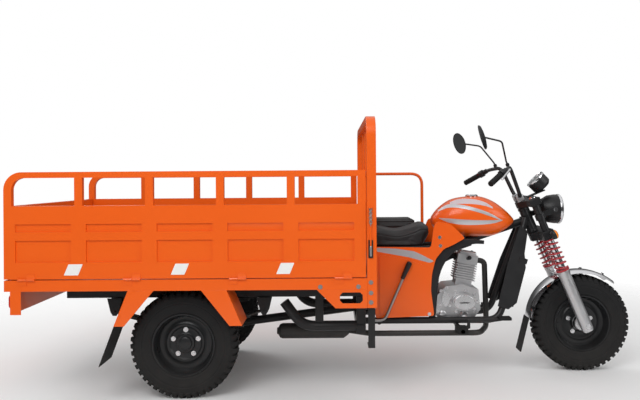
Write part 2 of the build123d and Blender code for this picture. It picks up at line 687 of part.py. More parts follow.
def rear_axle():
    """Live axle: housing tube, differential, spring pads, brake drums and wheel spindles."""
    x, z = REAR_AXLE_X, TYRE_RADIUS
    drum_in, drum_out = HUB_INNER_Y - 50, HUB_INNER_Y - 2
    axle = bar((x, -drum_in, z), (x, drum_in, z), AXLE_TUBE_RADIUS)
    middle = across((x, 0, z))
    axle += dish([(60, -95), (DIFF_RADIUS, -40), (DIFF_RADIUS, 40), (60, 95)], middle)
    axle += bar((x, 0, z), (DIFF_NOSE_X, 0, z), 45)
    pad_top = SPRING_EYE_Z - SPRING_RISE - (len(LEAF_SHARES) - 1) * LEAF_THICKNESS
    half = SPRING_WIDTH / 2
    pad = block((x - 45, x + 45), (-RAIL_Y - half, -RAIL_Y + half), (z, pad_top - 0.8))
    axle += both_sides(pad)
    end = dish([(DRUM_RADIUS, drum_in), (DRUM_RADIUS, drum_out)], middle)
    end += rod((x, drum_in, z), (x, SPINDLE_END_Y, z), SPINDLE_RADIUS)
    return axle + both_sides(end)


DIFF_NOSE_X = REAR_AXLE_X + 150.0
GEARBOX_X = FRONT_AXLE_X - 880.0
GEARBOX_Z = 432.0


def drive_shaft():
    """Drive shaft between its joints at the gearbox and the differential."""
    rear, front = DIFF_NOSE_X + SEAT_GAP, GEARBOX_X - SEAT_GAP
    shaft = bar((rear + 25, 0, TYRE_RADIUS), (front - 25, 0, GEARBOX_Z), 24)
    shaft += bar((rear, 0, TYRE_RADIUS), (rear + 46, 0, TYRE_RADIUS), 34)
    return shaft + bar((front - 46, 0, GEARBOX_Z), (front, 0, GEARBOX_Z), 34)


# Engine and cooling
ENGINE_X = FRONT_AXLE_X - 735.0
ENGINE_HALF = 100.0
ENGINE_LOW = 304.0
ENGINE_HIGH = 520.0


def engine_case():
    """Crankcase with its side covers, gearbox and mounting lugs."""
    low, high = ENGINE_LOW, ENGINE_HIGH
    x = ENGINE_X
    face = outline([
        (x - 128, low + 36), (x - 96, low), (x + 74, low), (x + 130, low + 70),
        (x + 118, high - 30), (x + 30, high), (x - 70, high - 10), (x - 128, high - 70),
    ])
    case = side_plate(face, (-ENGINE_HALF, ENGINE_HALF))
    oval = scale(RegularPolygon(1, DISH_SIDES), by=(68, 50, 1))
    case += side_plate(Pos(x + 30, low + 116) * oval, (-ENGINE_HALF - 36, -ENGINE_HALF))
    round_cover = RegularPolygon(66, DISH_SIDES)
    case += side_plate(Pos(x + 20, low + 112) * round_cover, (ENGINE_HALF, ENGINE_HALF + 34))
    case += bar((x - 120, 0, GEARBOX_Z), (GEARBOX_X, 0, GEARBOX_Z), 40)
    reach = CRADLE_Y - TUBE_RADIUS - SEAT_GAP
    for at in (-60, 60):
        lug = block((x + at - 14, x + at + 14), (-reach, -ENGINE_HALF), (CROSS_Z - 14, CROSS_Z + 14))
        case += both_sides(lug)
    return case


CYLINDER_TILT = 10.0
FIN_COUNT = 7
CYLINDER = Pos(ENGINE_X + 40, 0, ENGINE_HIGH - 2) * Rot(0, CYLINDER_TILT, 0)


def engine_cylinder():
    """Finned cylinder and head, leaning forward on the crankcase."""
    barrel = block((-48, 48), (-48, 48), (-30, 150))
    for i in range(FIN_COUNT):
        z = 22 + i * 14
        barrel += block((-62, 62), (-62, 62), (z, z + 6))
    barrel += block((-60, 60), (-58, 58), (118, 172))
    return CYLINDER * barrel - engine_case()


EXHAUST_Z = 256.0
EXHAUST_RADIUS = 16.0
SILENCER_RADIUS = 44.0


def exhaust():
    """Header pipe from the cylinder, a pipe along the right cradle tube and a silencer under the bed."""
    y = -CRADLE_Y - 46
    port = tuple((CYLINDER * Pos(60 + SEAT_GAP, 0, 145)).position)
    bend = tuple((CYLINDER * Pos(112, 0, 145)).position)
    path = [
        port, bend, (ENGINE_X + 185, 0, EXHAUST_Z), (ENGINE_X + 110, y, EXHAUST_Z),
        (CROSS_X + 60, y, EXHAUST_Z), (CROSS_X - 60, -90, EXHAUST_Z),
    ]
    can = bar((CROSS_X - 58, -90, EXHAUST_Z), (CROSS_X - 480, -90, EXHAUST_Z), SILENCER_RADIUS)
    return pipe(path, 40, EXHAUST_RADIUS) + can


RADIATOR_HALF = 100.0
RADIATOR_DEPTH = 38.0
RADIATOR_RISE = 120.0
RADIATOR_HEIGHT = 230.0
RADIATOR_TANK = 30.0
RADIATOR_SEAT = 1.2
SHROUD_THICKNESS = 4.0
TUBE_CLEAR = TUBE_RADIUS / cos(pi / BAR_SIDES) + SEAT_GAP

# Corners of the radiator's side sheets: ahead of the down tube and along it from its foot
SHROUD_OUTLINE = (
    (-34.0, 70.0), (30.0, 70.0), (68.0, 120.0), (68.0, 330.0),
    (40.0, 410.0), (26.0, 540.0), (-26.0, 560.0), (-40.0, 330.0),
)


def radiator():
    """Radiator core with its shroud, on the front of the down tubes."""
    low = Vector(CRADLE_FRONT_X, 0, CROSS_Z)
    top = Vector(*DOWN_TUBE_TOP)
    along = Vector(top.X - low.X, 0, top.Z - low.Z).normalized()
    ahead = Vector(along.Z, 0, -along.X)
    face = Plane(origin=low, x_dir=ahead, z_dir=along)
    start = TUBE_RADIUS + RADIATOR_SEAT
    width = (-RADIATOR_HALF, RADIATOR_HALF)
    core = block((start, start + RADIATOR_DEPTH), width, (RADIATOR_RISE, RADIATOR_RISE + RADIATOR_HEIGHT))
    for z in (RADIATOR_RISE - RADIATOR_TANK, RADIATOR_RISE + RADIATOR_HEIGHT):
        core += block((start, start + RADIATOR_DEPTH + 8), width, (z, z + RADIATOR_TANK))
    foot = Vector(CRADLE_FRONT_X, -CRADLE_Y, CROSS_Z)
    tube = Vector(top.X, -DOWN_TUBE_Y, top.Z) - foot
    beside = Plane(origin=foot, x_dir=ahead, z_dir=ahead.cross(tube))
    sheet = beside * (Pos(0, 0, TUBE_CLEAR) * extrude(outline(SHROUD_OUTLINE), SHROUD_THICKNESS))
    return face * core + both_sides(sheet)


# Tank, seats and covers
TANK_FRONT_X = FRONT_AXLE_X - 398.0
TANK_LENGTH = 470.0
TANK_WIDTH = 270.0
TANK_BOTTOM = 792.0


# Cross sections of the tank from rear to front: share of its length, half width, and
# lower and upper edge above the tank's bottom
TANK_SECTIONS = (
    (0.00, 62.0, 66.0, 124.0),
    (0.04, 84.0, 34.0, 150.0),
    (0.12, 106.0, 10.0, 186.0),
    (0.24, 126.0, 0.0, 220.0),
    (0.42, 138.0, 0.0, 236.0),
    (0.60, 138.0, 0.0, 236.0),
    (0.76, 126.0, 6.0, 208.0),
    (0.90, 98.0, 38.0, 160.0),
    (0.97, 70.0, 62.0, 128.0),
    (1.00, 52.0, 76.0, 112.0),
)


CORNER_TURNS = (0.0, 22.5, 45.0, 67.5, 90.0)


def tank_section(share, half, low, high):
    """Rounded section across the tank; its corners turn by the same steps in every section."""
    radius = 0.46 * min(2 * half, high - low)
    middle = TANK_BOTTOM + (low + high) / 2
    points = []
    for quarter in range(4):
        side_y = 1 if quarter in (0, 3) else -1
        side_z = 1 if quarter in (0, 1) else -1
        for turn in CORNER_TURNS:
            angle = radians(90 * quarter + turn)
            y = side_y * (half - radius) + radius * cos(angle)
            z = side_z * ((high - low) / 2 - radius) + radius * sin(angle)
            points.append(Vector(TANK_FRONT_X - TANK_LENGTH * (1 - share), y, middle + z))
    return points


def fuel_tank():
    """Tank skinned through rounded sections, with a tunnel that sits on the backbone."""
    tank = skin([tank_section(*section) for section in TANK_SECTIONS])
    (x0, z0), (x1, z1) = BACKBONE_REAR, BACKBONE_FRONT
    slope = (z1 - z0) / (x1 - x0)
    lift = (BACKBONE_RADIUS + RUN_GAP) * (1 + slope**2) ** 0.5
    floor = TANK_BOTTOM - 100
    rear, front = x0 - TANK_LENGTH, x1
    tunnel = outline([
        (rear, floor), (front, floor), (front, z1 + lift), (rear, z0 + slope * (rear - x0) + lift),
    ])
    half = BACKBONE_RADIUS + SEAT_GAP + 2
    return tank - side_plate(tunnel, (-half, half))


def fuel_cap():
    x = TANK_FRONT_X - TANK_LENGTH * 0.5
    z = TANK_BOTTOM + max(high for _, _, _, high in TANK_SECTIONS) + SEAT_GAP
    return dish([(36, 0), (36, 8), (30, 12)], Pos(x, 0, z))


SEAT_HALF = 140.0
SEAT_BASE = SEAT_RAIL_Z + SEAT_TUBE_RADIUS + SEAT_GAP


def seat():
    """Rider's saddle, dished in the middle and raised to the tank."""
    rear = HEADBOARD_X + 12
    front = TANK_FRONT_X - TANK_LENGTH - 8
    base = SEAT_BASE
    dip = (rear + (front - rear) * 0.4, base + 92)
    face = make_face([
        Polyline((rear, base + 112), (rear, base), (front - 60, base), (front - 18, base + 120), (front - 60, base + 138)),
        ThreePointArc((front - 60, base + 138), dip, (rear, base + 112)),
    ])
    return side_plate(face, (-SEAT_HALF, SEAT_HALF))


COVER_LOW = 340.0
COVER_TOP = 748.0
COVER_INSET = 20.0

# Front and upper corners of a side cover: ahead of the arch tube and above the cover's lower edge
COVER_OUTLINE = (
    (6.0, 12.0), (-12.0, 160.0), (-6.0, 250.0), (16.0, 336.0), (62.0, 393.0), (122.0, 419.0),
    (186.0, 455.0), (104.0, 536.0), (24.0, 552.0), (6.0, 520.0), (-10.0, 402.0),
)


def side_covers():
    """Painted panels below the saddle that rise to the tank, with studs to the frame tubes."""
    inner = CRADLE_Y + TUBE_RADIUS + 4
    rear = HEADBOARD_X + COVER_INSET
    front = [(ARCH_X + x, COVER_LOW + z) for x, z in COVER_OUTLINE]
    face = outline([(rear, COVER_LOW)] + front + [(rear, COVER_TOP)])
    cover = side_plate(face, (-inner - 14, -inner))
    for share in (0.25, 0.75):
        x = SEAT_LEG_FOOT_X + share * SEAT_LEG_LEAN
        y = CRADLE_Y + share * (ARCH_Y - CRADLE_Y) + SEAT_TUBE_RADIUS + 2 * SEAT_GAP
        z = CROSS_Z + share * (SEAT_RAIL_Z - CROSS_Z)
        cover += bar((x, -inner - 2, z), (x, -y, z), 7)
    return both_sides(cover)


PASSENGER_REACH = 390.0
PASSENGER_RAIL_RADIUS = 10.0
PASSENGER_RAIL_BEND = 70.0
PASSENGER_RAIL_LOW = 545.0
PASSENGER_RAIL_TOP = RAIL_TOP - 15.0
PASSENGER_RAIL_Y = BED_Y - 25.0
PASSENGER_BASE_Z = 814.0
PASSENGER_BASE_THICKNESS = 8.0
PASSENGER_BASE_WIDTH = 278.0
CUSHION_HEIGHT = 65.0
CUSHION_WIDTH = 250.0


def passenger_frame():
    """Guard rail and seat base of the passenger's place on the left."""
    y, back = PASSENGER_RAIL_Y, HEADBOARD_X
    front = back + PASSENGER_REACH
    corners = [(back, y, PASSENGER_RAIL_TOP), (front, y, PASSENGER_RAIL_TOP)]
    corners += [(front, y, PASSENGER_RAIL_LOW), (back, y, PASSENGER_RAIL_LOW)]
    rail = pipe(corners, PASSENGER_RAIL_BEND, PASSENGER_RAIL_RADIUS)
    under = PASSENGER_BASE_Z - PASSENGER_BASE_THICKNESS
    inner = y + 8 - PASSENGER_BASE_WIDTH
    base = block((back, front - 60), (inner, y + 8), (under, PASSENGER_BASE_Z))
    stay = block((back, back + 30), (inner + 20, inner + 50), (under - 166, under))
    prop = bar((front - 100, inner + 30, under - 6), (back + 15, inner + 30, under - 156), 9)
    arm = bar((front - 80, y - 4, under - 6), (front, y, under - 6), 9)
    return rail + base + stay + prop + arm


def passenger_seat():
    back, front = HEADBOARD_X + 12, HEADBOARD_X + PASSENGER_REACH - 70
    outer = PASSENGER_RAIL_Y - 12
    top = PASSENGER_BASE_Z + CUSHION_HEIGHT
    return block((back, front), (outer - CUSHION_WIDTH, outer), (PASSENGER_BASE_Z + SEAT_GAP, top))


# Controls
def foot_controls():
    """Footrest bar with pegs, brake pedal and gear pedal."""
    x = ENGINE_X - 10
    z = CROSS_Z - TUBE_RADIUS - SEAT_GAP - 12
    rest = bar((x, -300, z), (x, 300, z), 12)
    peg = block((x - 30, x + 30), (-300, -205), (z - 14, z + 16))
    pedal = pipe([(x + 40, -212, z + 44), (x + 190, -212, z + 44), (x + 260, -212, z + 54)], 30, 9)
    pedal += block((x + 40, x + 56), (-221, -203), (z + 10, z + 46)) + block((x + 25, x + 56), (-221, -203), (z, z + 16))
    pedal += block((x + 215, x + 285), (-245, -190), (z + 48, z + 66))
    return rest + both_sides(peg + pedal)


def parking_lever():
    """Hand lever of the parking brake at the right side cover."""
    y = -CRADLE_Y - TUBE_RADIUS - 40
    low = CROSS_Z + 12
    lever = pipe([(HEADBOARD_X, y, low), (HEADBOARD_X + 70, y, low), (HEADBOARD_X + 215, y, 660)], 30, 8)
    grip = bar((HEADBOARD_X + 172, y, 568), (HEADBOARD_X + 217, y, 664), 16)
    pivot = bar((HEADBOARD_X + 40, y, CROSS_Z), (HEADBOARD_X + 40, -CRADLE_Y - TUBE_RADIUS - SEAT_GAP, CROSS_Z), 12)
    return lever + grip + pivot


# Steered front end, drawn along the steering axis
def leg_tube(radius, low, high):
    """Round bar on the right fork leg's line, between two places along the steering axis."""
    return dish([(radius, low), (radius, high)], Pos(FORK_OFFSET, -FORK_Y, 0))


def fork_legs():
    """Fork legs: sliders with the spindle's nuts, and chromed tubes up to the upper yoke."""
    leg = leg_tube(SLIDER_RADIUS, -SLIDER_RADIUS, SLIDER_TOP)
    leg += leg_tube(STANCHION_RADIUS, SLIDER_TOP, UPPER_YOKE[1] + 6)
    leg += bar((FORK_OFFSET, -FORK_Y, 0), (FORK_OFFSET, -FORK_Y - SLIDER_RADIUS - 14, 0), 16)
    return STEER * both_sides(leg)


def fork_springs():
    """Springs round the fork tubes, between the sliders and the lower yoke."""
    low, high = SLIDER_TOP + SEAT_GAP, LOWER_YOKE[0] - SEAT_GAP
    lift = (high - low - SPRING_WIRE) / (SPRING_TURNS * COIL_SIDES)
    rings = []
    for step in range(SPRING_TURNS * COIL_SIDES + 1):
        angle = 2 * pi * step / COIL_SIDES
        z = low + lift * step
        corners = ((SPRING_RADIUS, z), (SPRING_RADIUS, z + SPRING_WIRE))
        corners += ((SPRING_RADIUS - SPRING_WIRE, z + SPRING_WIRE), (SPRING_RADIUS - SPRING_WIRE, z))
        rings.append([Vector(r * cos(angle), r * sin(angle), height) for r, height in corners])
    return STEER * both_sides(Pos(FORK_OFFSET, -FORK_Y, 0) * coil_skin(rings))


def fork_yokes():
    """Upper and lower yokes on the steering stem, bored for the fork tubes."""
    rear, front = FORK_OFFSET - SLIDER_RADIUS, FORK_OFFSET + SLIDER_RADIUS
    reach = FORK_Y + SLIDER_RADIUS
    yokes = rod((0, 0, LOWER_YOKE[0]), (0, 0, UPPER_YOKE[1]), STEM_RADIUS)
    for low, high in (LOWER_YOKE, UPPER_YOKE):
        plate = Pos(0, 0, low) * extrude(
            outline([
                (-YOKE_BOSS, -YOKE_BOSS * 0.7), (rear, -FORK_Y * 0.7), (rear, -reach), (front, -reach),
                (front, reach), (rear, reach), (rear, FORK_Y * 0.7), (-YOKE_BOSS, YOKE_BOSS * 0.7),
            ]),
            high - low,
        )
        yokes += plate
    hole = leg_tube(STANCHION_RADIUS + SEAT_GAP, LOWER_YOKE[0], UPPER_YOKE[1])
    return STEER * (yokes - both_sides(hole))


def front_spindle():
    """Front spindle between the fork legs, with the collars beside the hub."""
    x, z = FRONT_AXLE_X, TYRE_RADIUS
    end = FORK_Y - SLIDER_RADIUS - SEAT_GAP
    spindle = rod((x, -end, z), (x, end, z), FRONT_SPINDLE_RADIUS)
    return spindle + both_sides(bar((x, -end, z), (x, -FRONT_HUB_HALF - 0.5, z), 18))


def front_fender():
    """Arched mudguard over the front wheel, with the bridge that ties it to the fork legs."""
    half = FENDER_WIDTH / 2
    wall = half - FENDER_THICKNESS
    top, inside, lip = FENDER_RADIUS, FENDER_RADIUS - FENDER_THICKNESS, FENDER_RADIUS - FENDER_LIP
    section = [(top, -half), (top, half), (lip, half), (lip, wall), (inside, wall), (inside, -wall), (lip, -wall), (lip, -half)]
    rings = []
    for step in range(FENDER_STEPS + 1):
        angle = radians(FENDER_START + (FENDER_END - FENDER_START) * step / FENDER_STEPS)
        rings.append([Vector(r * cos(angle), y, r * sin(angle)) for r, y in section])
    reach = FORK_Y - SLIDER_RADIUS - SEAT_GAP
    bridge = STEER * block((FORK_OFFSET - 20, FORK_OFFSET + 20), (-reach, reach), (FENDER_RADIUS - 2, FENDER_RADIUS + 8))
    return Pos(*FRONT_CENTRE) * skin(rings) + bridge


FENDER_STEPS = 16
FENDER_START = 52.0
FENDER_END = 174.0


def front_flap():
    """Rubber flap below the rear end of the front mudguard."""
    angle = radians(FENDER_END)
    x = FRONT_AXLE_X + FENDER_RADIUS * cos(angle)
    z = TYRE_RADIUS + FENDER_RADIUS * sin(angle)
    face = outline([(x - 1, z - 0.8), (x + 4, z - 0.8), (x - 46, z - 200), (x - 51, z - 200)])
    return side_plate(face, (-FENDER_WIDTH * 0.35, FENDER_WIDTH * 0.35))


HEADLAMP_CENTRE = on_steer(150, 0, 683)


LAMP = Pos(*HEADLAMP_CENTRE) * Rot(0, 90, 0)


def headlamp():
    """Round headlamp shell with its rim and the arms that hold it to the fork tubes."""
    shell = dish([(26, -70), (60, -54), (80, -20), (LAMP_RADIUS, 22), (LAMP_RADIUS, 48)], LAMP)
    arm = block((FORK_OFFSET, 158), (-LAMP_RADIUS - 14, -LAMP_RADIUS - 8), (668, 700))
    arm += block((FORK_OFFSET - 30, FORK_OFFSET + 30), (-FORK_Y - 30, -LAMP_RADIUS - 8), (668, 700))
    arm -= leg_tube(STANCHION_RADIUS + SEAT_GAP, 660, 710)
    boss = bar((150, -LAMP_RADIUS - 8, 684), (150, -60, 684), 9)
    return shell + STEER * both_sides(arm + boss)


def headlamp_lens():
    return dish([(LAMP_RADIUS - 6, 48), (LAMP_RADIUS - 24, 60), (LAMP_RADIUS - 52, 68)], LAMP)


def gauge():
    """Round speedometer in its cup, on a bracket from the upper yoke."""
    cup = dish([(44, -37), (GAUGE_RADIUS, -18), (GAUGE_RADIUS, 37)], Pos(148, 0, 852) * Rot(0, -22, 0))
    bracket = block((FORK_OFFSET + 10, 160), (-25, 25), (UPPER_YOKE[1] + SEAT_GAP, UPPER_YOKE[1] + 8))
    return STEER * (cup + bracket)


BAR_Z = 822.0
BAR_POINTS = [(0, 62, BAR_Z), (0, 105, 1014), (-52, 230, 1021), (-189, 350, 993)]


def along_bar(share):
    """Point on the straight outer run of the bar, right side."""
    a, b = Vector(*BAR_POINTS[2]), Vector(*BAR_POINTS[3])
    p = a + (b - a) * share
    return Vector(p.X, -p.Y, p.Z)


GRIP_START = 0.42


def handlebar():
    """High handlebar with its clamps on the upper yoke and a switch housing beside each grip."""
    left = BAR_POINTS[:3] + [tuple(flipped_point(along_bar(GRIP_START)))]
    right = [(x, -y, z) for x, y, z in reversed(left)]
    tube = pipe(right + left, 32, BAR_RADIUS)
    clamp = block((-20, 20), (-52, -26), (UPPER_YOKE[1], BAR_Z + BAR_RADIUS + 6))
    switch = bar(along_bar(0.2), along_bar(0.38), GRIP_RADIUS + 6)
    perch = along_bar(0.15)
    holder = bar(perch, perch + Vector(34, 0, 0), 9)
    return STEER * (tube + both_sides(clamp + switch + holder))


def flipped_point(point):
    """Point on the other side of the vehicle."""
    return Vector(point.X, -point.Y, point.Z)


def hand_grips():
    """Rubber grips at the ends of the bar."""
    start = along_bar(GRIP_START)
    end = along_bar(1.04)
    start = start + (end - start).normalized() * SEAT_GAP
    return STEER * both_sides(bar(start, end, GRIP_RADIUS))


def hand_levers():
    """Brake and clutch levers in front of the grips."""
    perch = along_bar(0.15)
    root = perch + Vector(25, -9 - SEAT_GAP, 0)
    knee = root + Vector(0, -24, 0)
    tip = along_bar(1.0) + Vector(62, -14, 0)
    return STEER * both_sides(pipe([tuple(root), tuple(knee), tuple(tip)], 14, 6))


def mirrors():
    """Round mirrors on bent stems from the bar."""
    inner, outer = Vector(*BAR_POINTS[1]), Vector(*BAR_POINTS[2])
    seat_point = inner + (outer - inner) * 0.35
    base = Vector(seat_point.X, -seat_point.Y, seat_point.Z + BAR_RADIUS + 2 * SEAT_GAP)
    neck = base + Vector(0, 0, 26)
    knee = base + Vector(-10, -130, 150)
    head = base + Vector(-110, -190, 215)
    stem = pipe([tuple(base), tuple(neck), tuple(knee), tuple(head)], 16, 5)
    face = Plane(origin=head, z_dir=(-1, 0.35, 0.1))
    return STEER * both_sides(stem + face * extrude(RegularPolygon(MIRROR_RADIUS, DISH_SIDES), 8, both=True))


def turn_signals():
    """Amber front turn signals on stalks from the lower yoke."""
    stalk = bar((FORK_OFFSET + 10, -FORK_Y - 34, 572), (FORK_OFFSET + 10, -FORK_Y - 60, 572), 7)
    lamp = bar((FORK_OFFSET - 8, -FORK_Y - 78, 572), (FORK_OFFSET + 34, -FORK_Y - 78, 572), 27)
    return STEER * both_sides(stalk + lamp)


PARTS = {
    "front_tyre": lambda: tyre(FRONT_CENTRE),
    "front_wheel": front_wheel,
    "rear_tyre_right": lambda: tyre(RIGHT_CENTRE),
    "rear_tyre_left": lambda: flipped(tyre(RIGHT_CENTRE)),
    "rear_wheel_right": rear_wheel,
    "rear_wheel_left": lambda: flipped(rear_wheel()),
    "side_gate_right": side_gate,
    "side_gate_left": lambda: flipped(side_gate()),
    "tailgate": tailgate,
    "bed_sills": bed_sills,
    "bed_floor": bed_floor,
    "bed_joists": bed_joists,
    "headboard": headboard,
    "headboard_wall": headboard_wall,
    "headboard_bars": headboard_bars,
    "headboard_brackets": headboard_brackets,
    "wheel_skirts": wheel_skirts,
    "rear_flaps": rear_flaps,
    "rear_panel": rear_panel,
    "tail_lamps": tail_lamps,
    "side_steps": side_steps,
    "frame_rails": frame_rails,
    "lower_rails": lower_rails,
    "front_frame": front_frame,
    "leaf_springs": leaf_springs,
    "spring_hangers": spring_hangers,
    "rear_axle": rear_axle,
    "drive_shaft": drive_shaft,
    "engine_case": engine_case,
    "engine_cylinder": engine_cylinder,
    "exhaust": exhaust,
    "radiator": radiator,
    "fuel_tank": fuel_tank,
    "fuel_cap": fuel_cap,
    "seat": seat,
    "side_covers": side_covers,
    "passenger_frame": passenger_frame,
    "passenger_seat": passenger_seat,
    "foot_controls": foot_controls,
    "parking_lever": parking_lever,
    "fork_legs": fork_legs,
    "fork_springs": fork_springs,
    "fork_yokes": fork_yokes,
    "front_spindle": front_spindle,
    "front_fender": front_fender,
    "front_flap": front_flap,
    "headlamp": headlamp,
    "headlamp_lens": headlamp_lens,
    "gauge": gauge,
    "handlebar": handlebar,
    "hand_grips": hand_grips,
    "hand_levers": hand_levers,
    "mirrors": mirrors,
    "turn_signals": turn_signals,
}


def main():
    os.makedirs("parts", exist_ok=True)
    for name, make in PARTS.items():
        export_step(make(), os.path.join("parts", name + ".step"))


if __name__ == "__main__":
    main()
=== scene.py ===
# %% [markdown]
# # A three-wheeled cargo motorcycle
# The CAD model holds every piece at its real size and place, with the joints that move
# it. This lesson gives that model its looks: paint, chrome, rubber and vinyl, rounded
# sheet-metal edges, tyre treads, coil springs and soft seats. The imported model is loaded
# first as a fixed frame, and every new piece is hung on one of its bodies, so that it
# turns, swings and steers with the CAD.

# %% Load the frame
import json
from math import cos, radians, sin, tau

import bmesh
import bpy
from mathutils import Matrix, Vector
from mathutils.bvhtree import BVHTree


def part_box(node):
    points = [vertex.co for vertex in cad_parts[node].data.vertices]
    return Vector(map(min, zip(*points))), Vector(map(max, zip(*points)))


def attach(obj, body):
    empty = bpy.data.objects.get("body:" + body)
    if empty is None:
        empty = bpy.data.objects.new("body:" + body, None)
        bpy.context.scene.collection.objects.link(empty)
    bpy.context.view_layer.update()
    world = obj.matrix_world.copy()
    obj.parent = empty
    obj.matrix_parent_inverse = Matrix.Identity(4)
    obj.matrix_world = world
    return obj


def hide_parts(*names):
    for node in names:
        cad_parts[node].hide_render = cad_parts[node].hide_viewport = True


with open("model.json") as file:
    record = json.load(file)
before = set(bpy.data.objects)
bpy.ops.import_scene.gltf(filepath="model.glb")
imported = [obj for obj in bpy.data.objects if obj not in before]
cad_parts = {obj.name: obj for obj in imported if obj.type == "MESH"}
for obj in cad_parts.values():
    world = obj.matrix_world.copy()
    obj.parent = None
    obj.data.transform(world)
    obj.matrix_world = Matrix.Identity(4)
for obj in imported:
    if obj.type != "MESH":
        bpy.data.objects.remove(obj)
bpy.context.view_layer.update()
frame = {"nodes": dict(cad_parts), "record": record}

NODES = frame["nodes"]
RECORD = frame["record"]
BODY_OF = {node: body for body, nodes in RECORD["behaviour"]["bodies"].items() for node in nodes}
SLOT_OF = {row["node"]: row["material_slot"] for row in RECORD["subparts"]}

# %% [markdown]
# ## Camera and studio
# The picture was taken level with the cargo rails, square to the vehicle's right side,
# a little behind its middle. A view that is off the middle of its frame is made with the
# camera's shift, not by turning it, because turning would make the wheels lean.

# %% Camera
IMAGE_WIDTH = 640
FOCAL_PIXELS = 687
AXIS_OFFSET = (-12, -22)
CAMERA_PLACE = Vector((-0.035, -4.095, 1.144))
CAMERA_ROLL = radians(-0.4)

scene = bpy.context.scene
scene.view_settings.view_transform = "Standard"
lens = bpy.data.cameras.new("photo_view")
lens.sensor_width = 36
lens.lens = FOCAL_PIXELS / IMAGE_WIDTH * lens.sensor_width
lens.shift_x, lens.shift_y = (offset / IMAGE_WIDTH for offset in AXIS_OFFSET)
camera = bpy.data.objects.new("photo_view", lens)
scene.collection.objects.link(camera)
level = Matrix.Rotation(radians(90), 4, "X") @ Matrix.Rotation(CAMERA_ROLL, 4, "Z")
camera.matrix_world = Matrix.Translation(CAMERA_PLACE) @ level
scene.camera = camera
print("camera lens", round(lens.lens, 1), "mm")

# %% [markdown]
# The world is a white studio, but only the camera and glass see it at full white. What a
# shiny surface mirrors is darker near the horizon, as in a real room: an all-white room
# would turn black paint grey and chrome into plain white. The floor is pale and fades out
# into the white, so that no horizon line runs behind the vehicle.

# %% World, lamps and floor
AMBIENT = 0.55
MIRRORED_LOW, MIRRORED_HIGH = 0.06, 0.85
FLOOR_PALE = (0.86, 0.86, 0.86, 1)


def add(tree, kind, **settings):
    """New node in a tree, with its settings."""
    node = tree.nodes.new(kind)
    for name, value in settings.items():
        setattr(node, name, value)
    return node


def sum_of(tree, *sockets):
    """Chain of add nodes for several value sockets."""
    total = sockets[0]
    for socket in sockets[1:]:
        plus = add(tree, "ShaderNodeMath", operation="ADD", use_clamp=True)
        tree.links.new(total, plus.inputs[0])
        tree.links.new(socket, plus.inputs[1])
        total = plus.outputs[0]
    return total


world = bpy.data.worlds.new("studio")
scene.world = world
world.use_nodes = True
sky = world.node_tree
sky.nodes.clear()
rays = add(sky, "ShaderNodeLightPath")
shown = sum_of(sky, *(rays.outputs[f"Is {kind} Ray"] for kind in ("Camera", "Transmission")))
soft, white, room = (add(sky, "ShaderNodeBackground") for _ in range(3))
for background, strength in ((soft, AMBIENT), (white, 1.0), (room, 1.0)):
    background.inputs["Color"].default_value = (1, 1, 1, 1)
    background.inputs["Strength"].default_value = strength
split = add(sky, "ShaderNodeSeparateXYZ")
sky.links.new(add(sky, "ShaderNodeTexCoord").outputs["Generated"], split.inputs[0])
rise = add(sky, "ShaderNodeMapRange", interpolation_type="SMOOTHSTEP")
for name, value in (("From Min", 0.12), ("From Max", 0.75), ("To Min", MIRRORED_LOW),
                    ("To Max", MIRRORED_HIGH)):
    rise.inputs[name].default_value = value
sky.links.new(split.outputs["Z"], rise.inputs["Value"])
sky.links.new(rise.outputs["Result"], room.inputs["Strength"])
mirrored_or_soft, choose = add(sky, "ShaderNodeMixShader"), add(sky, "ShaderNodeMixShader")
for mix, share, first, second in ((mirrored_or_soft, rays.outputs["Is Glossy Ray"], soft, room),
                                  (choose, shown, mirrored_or_soft, white)):
    sky.links.new(share, mix.inputs[0])
    sky.links.new(first.outputs[0], mix.inputs[1])
    sky.links.new(second.outputs[0], mix.inputs[2])
sky.links.new(choose.outputs[0], add(sky, "ShaderNodeOutputWorld").inputs[0])

LAMPS = (
    ("key_softbox", (-1.5, -4.5, 4.2), (0.1, 0.0, 0.6), 3.2, 150),
    ("fill_softbox", (4.5, -2.5, 2.6), (0.6, 0.0, 0.6), 2.5, 60),
    ("rear_softbox", (-3.5, 4.0, 3.6), (-0.3, 0.0, 0.8), 3.0, 90),
)
for name, place, target, size, watts in LAMPS:
    lamp = bpy.data.lights.new(name, "AREA")
    lamp.size, lamp.energy = size, watts
    holder = bpy.data.objects.new(name, lamp)
    holder.location = place
    holder.rotation_euler = (Vector(target) - Vector(place)).to_track_quat("-Z", "Y").to_euler()
    scene.collection.objects.link(holder)

floor_mesh = bpy.data.meshes.new("studio_floor")
reach = 7.0
floor_mesh.from_pydata([(-reach, -reach, 0), (reach, -reach, 0), (reach, reach, 0), (-reach, reach, 0)], [],
                       [(0, 1, 2, 3)])
floor = bpy.data.objects.new("studio_floor", floor_mesh)
scene.collection.objects.link(floor)
pale = bpy.data.materials.new("pale_floor")
pale.use_nodes = True
paper = pale.node_tree
matt = paper.nodes["Principled BSDF"]
matt.inputs["Base Color"].default_value = FLOOR_PALE
matt.inputs["Roughness"].default_value = 0.9
spot = add(paper, "ShaderNodeTexCoord")
distance = add(paper, "ShaderNodeVectorMath", operation="LENGTH")
paper.links.new(spot.outputs["Object"], distance.inputs[0])
fade = add(paper, "ShaderNodeMapRange")
for name, value in (("From Min", 2.0), ("From Max", 4.5), ("To Min", 1.0), ("To Max", 0.0)):
    fade.inputs[name].default_value = value
paper.links.new(distance.outputs["Value"], fade.inputs["Value"])
paper.links.new(fade.outputs["Result"], matt.inputs["Alpha"])
floor_mesh.materials.append(pale)
print("studio with", len(LAMPS), "softboxes")

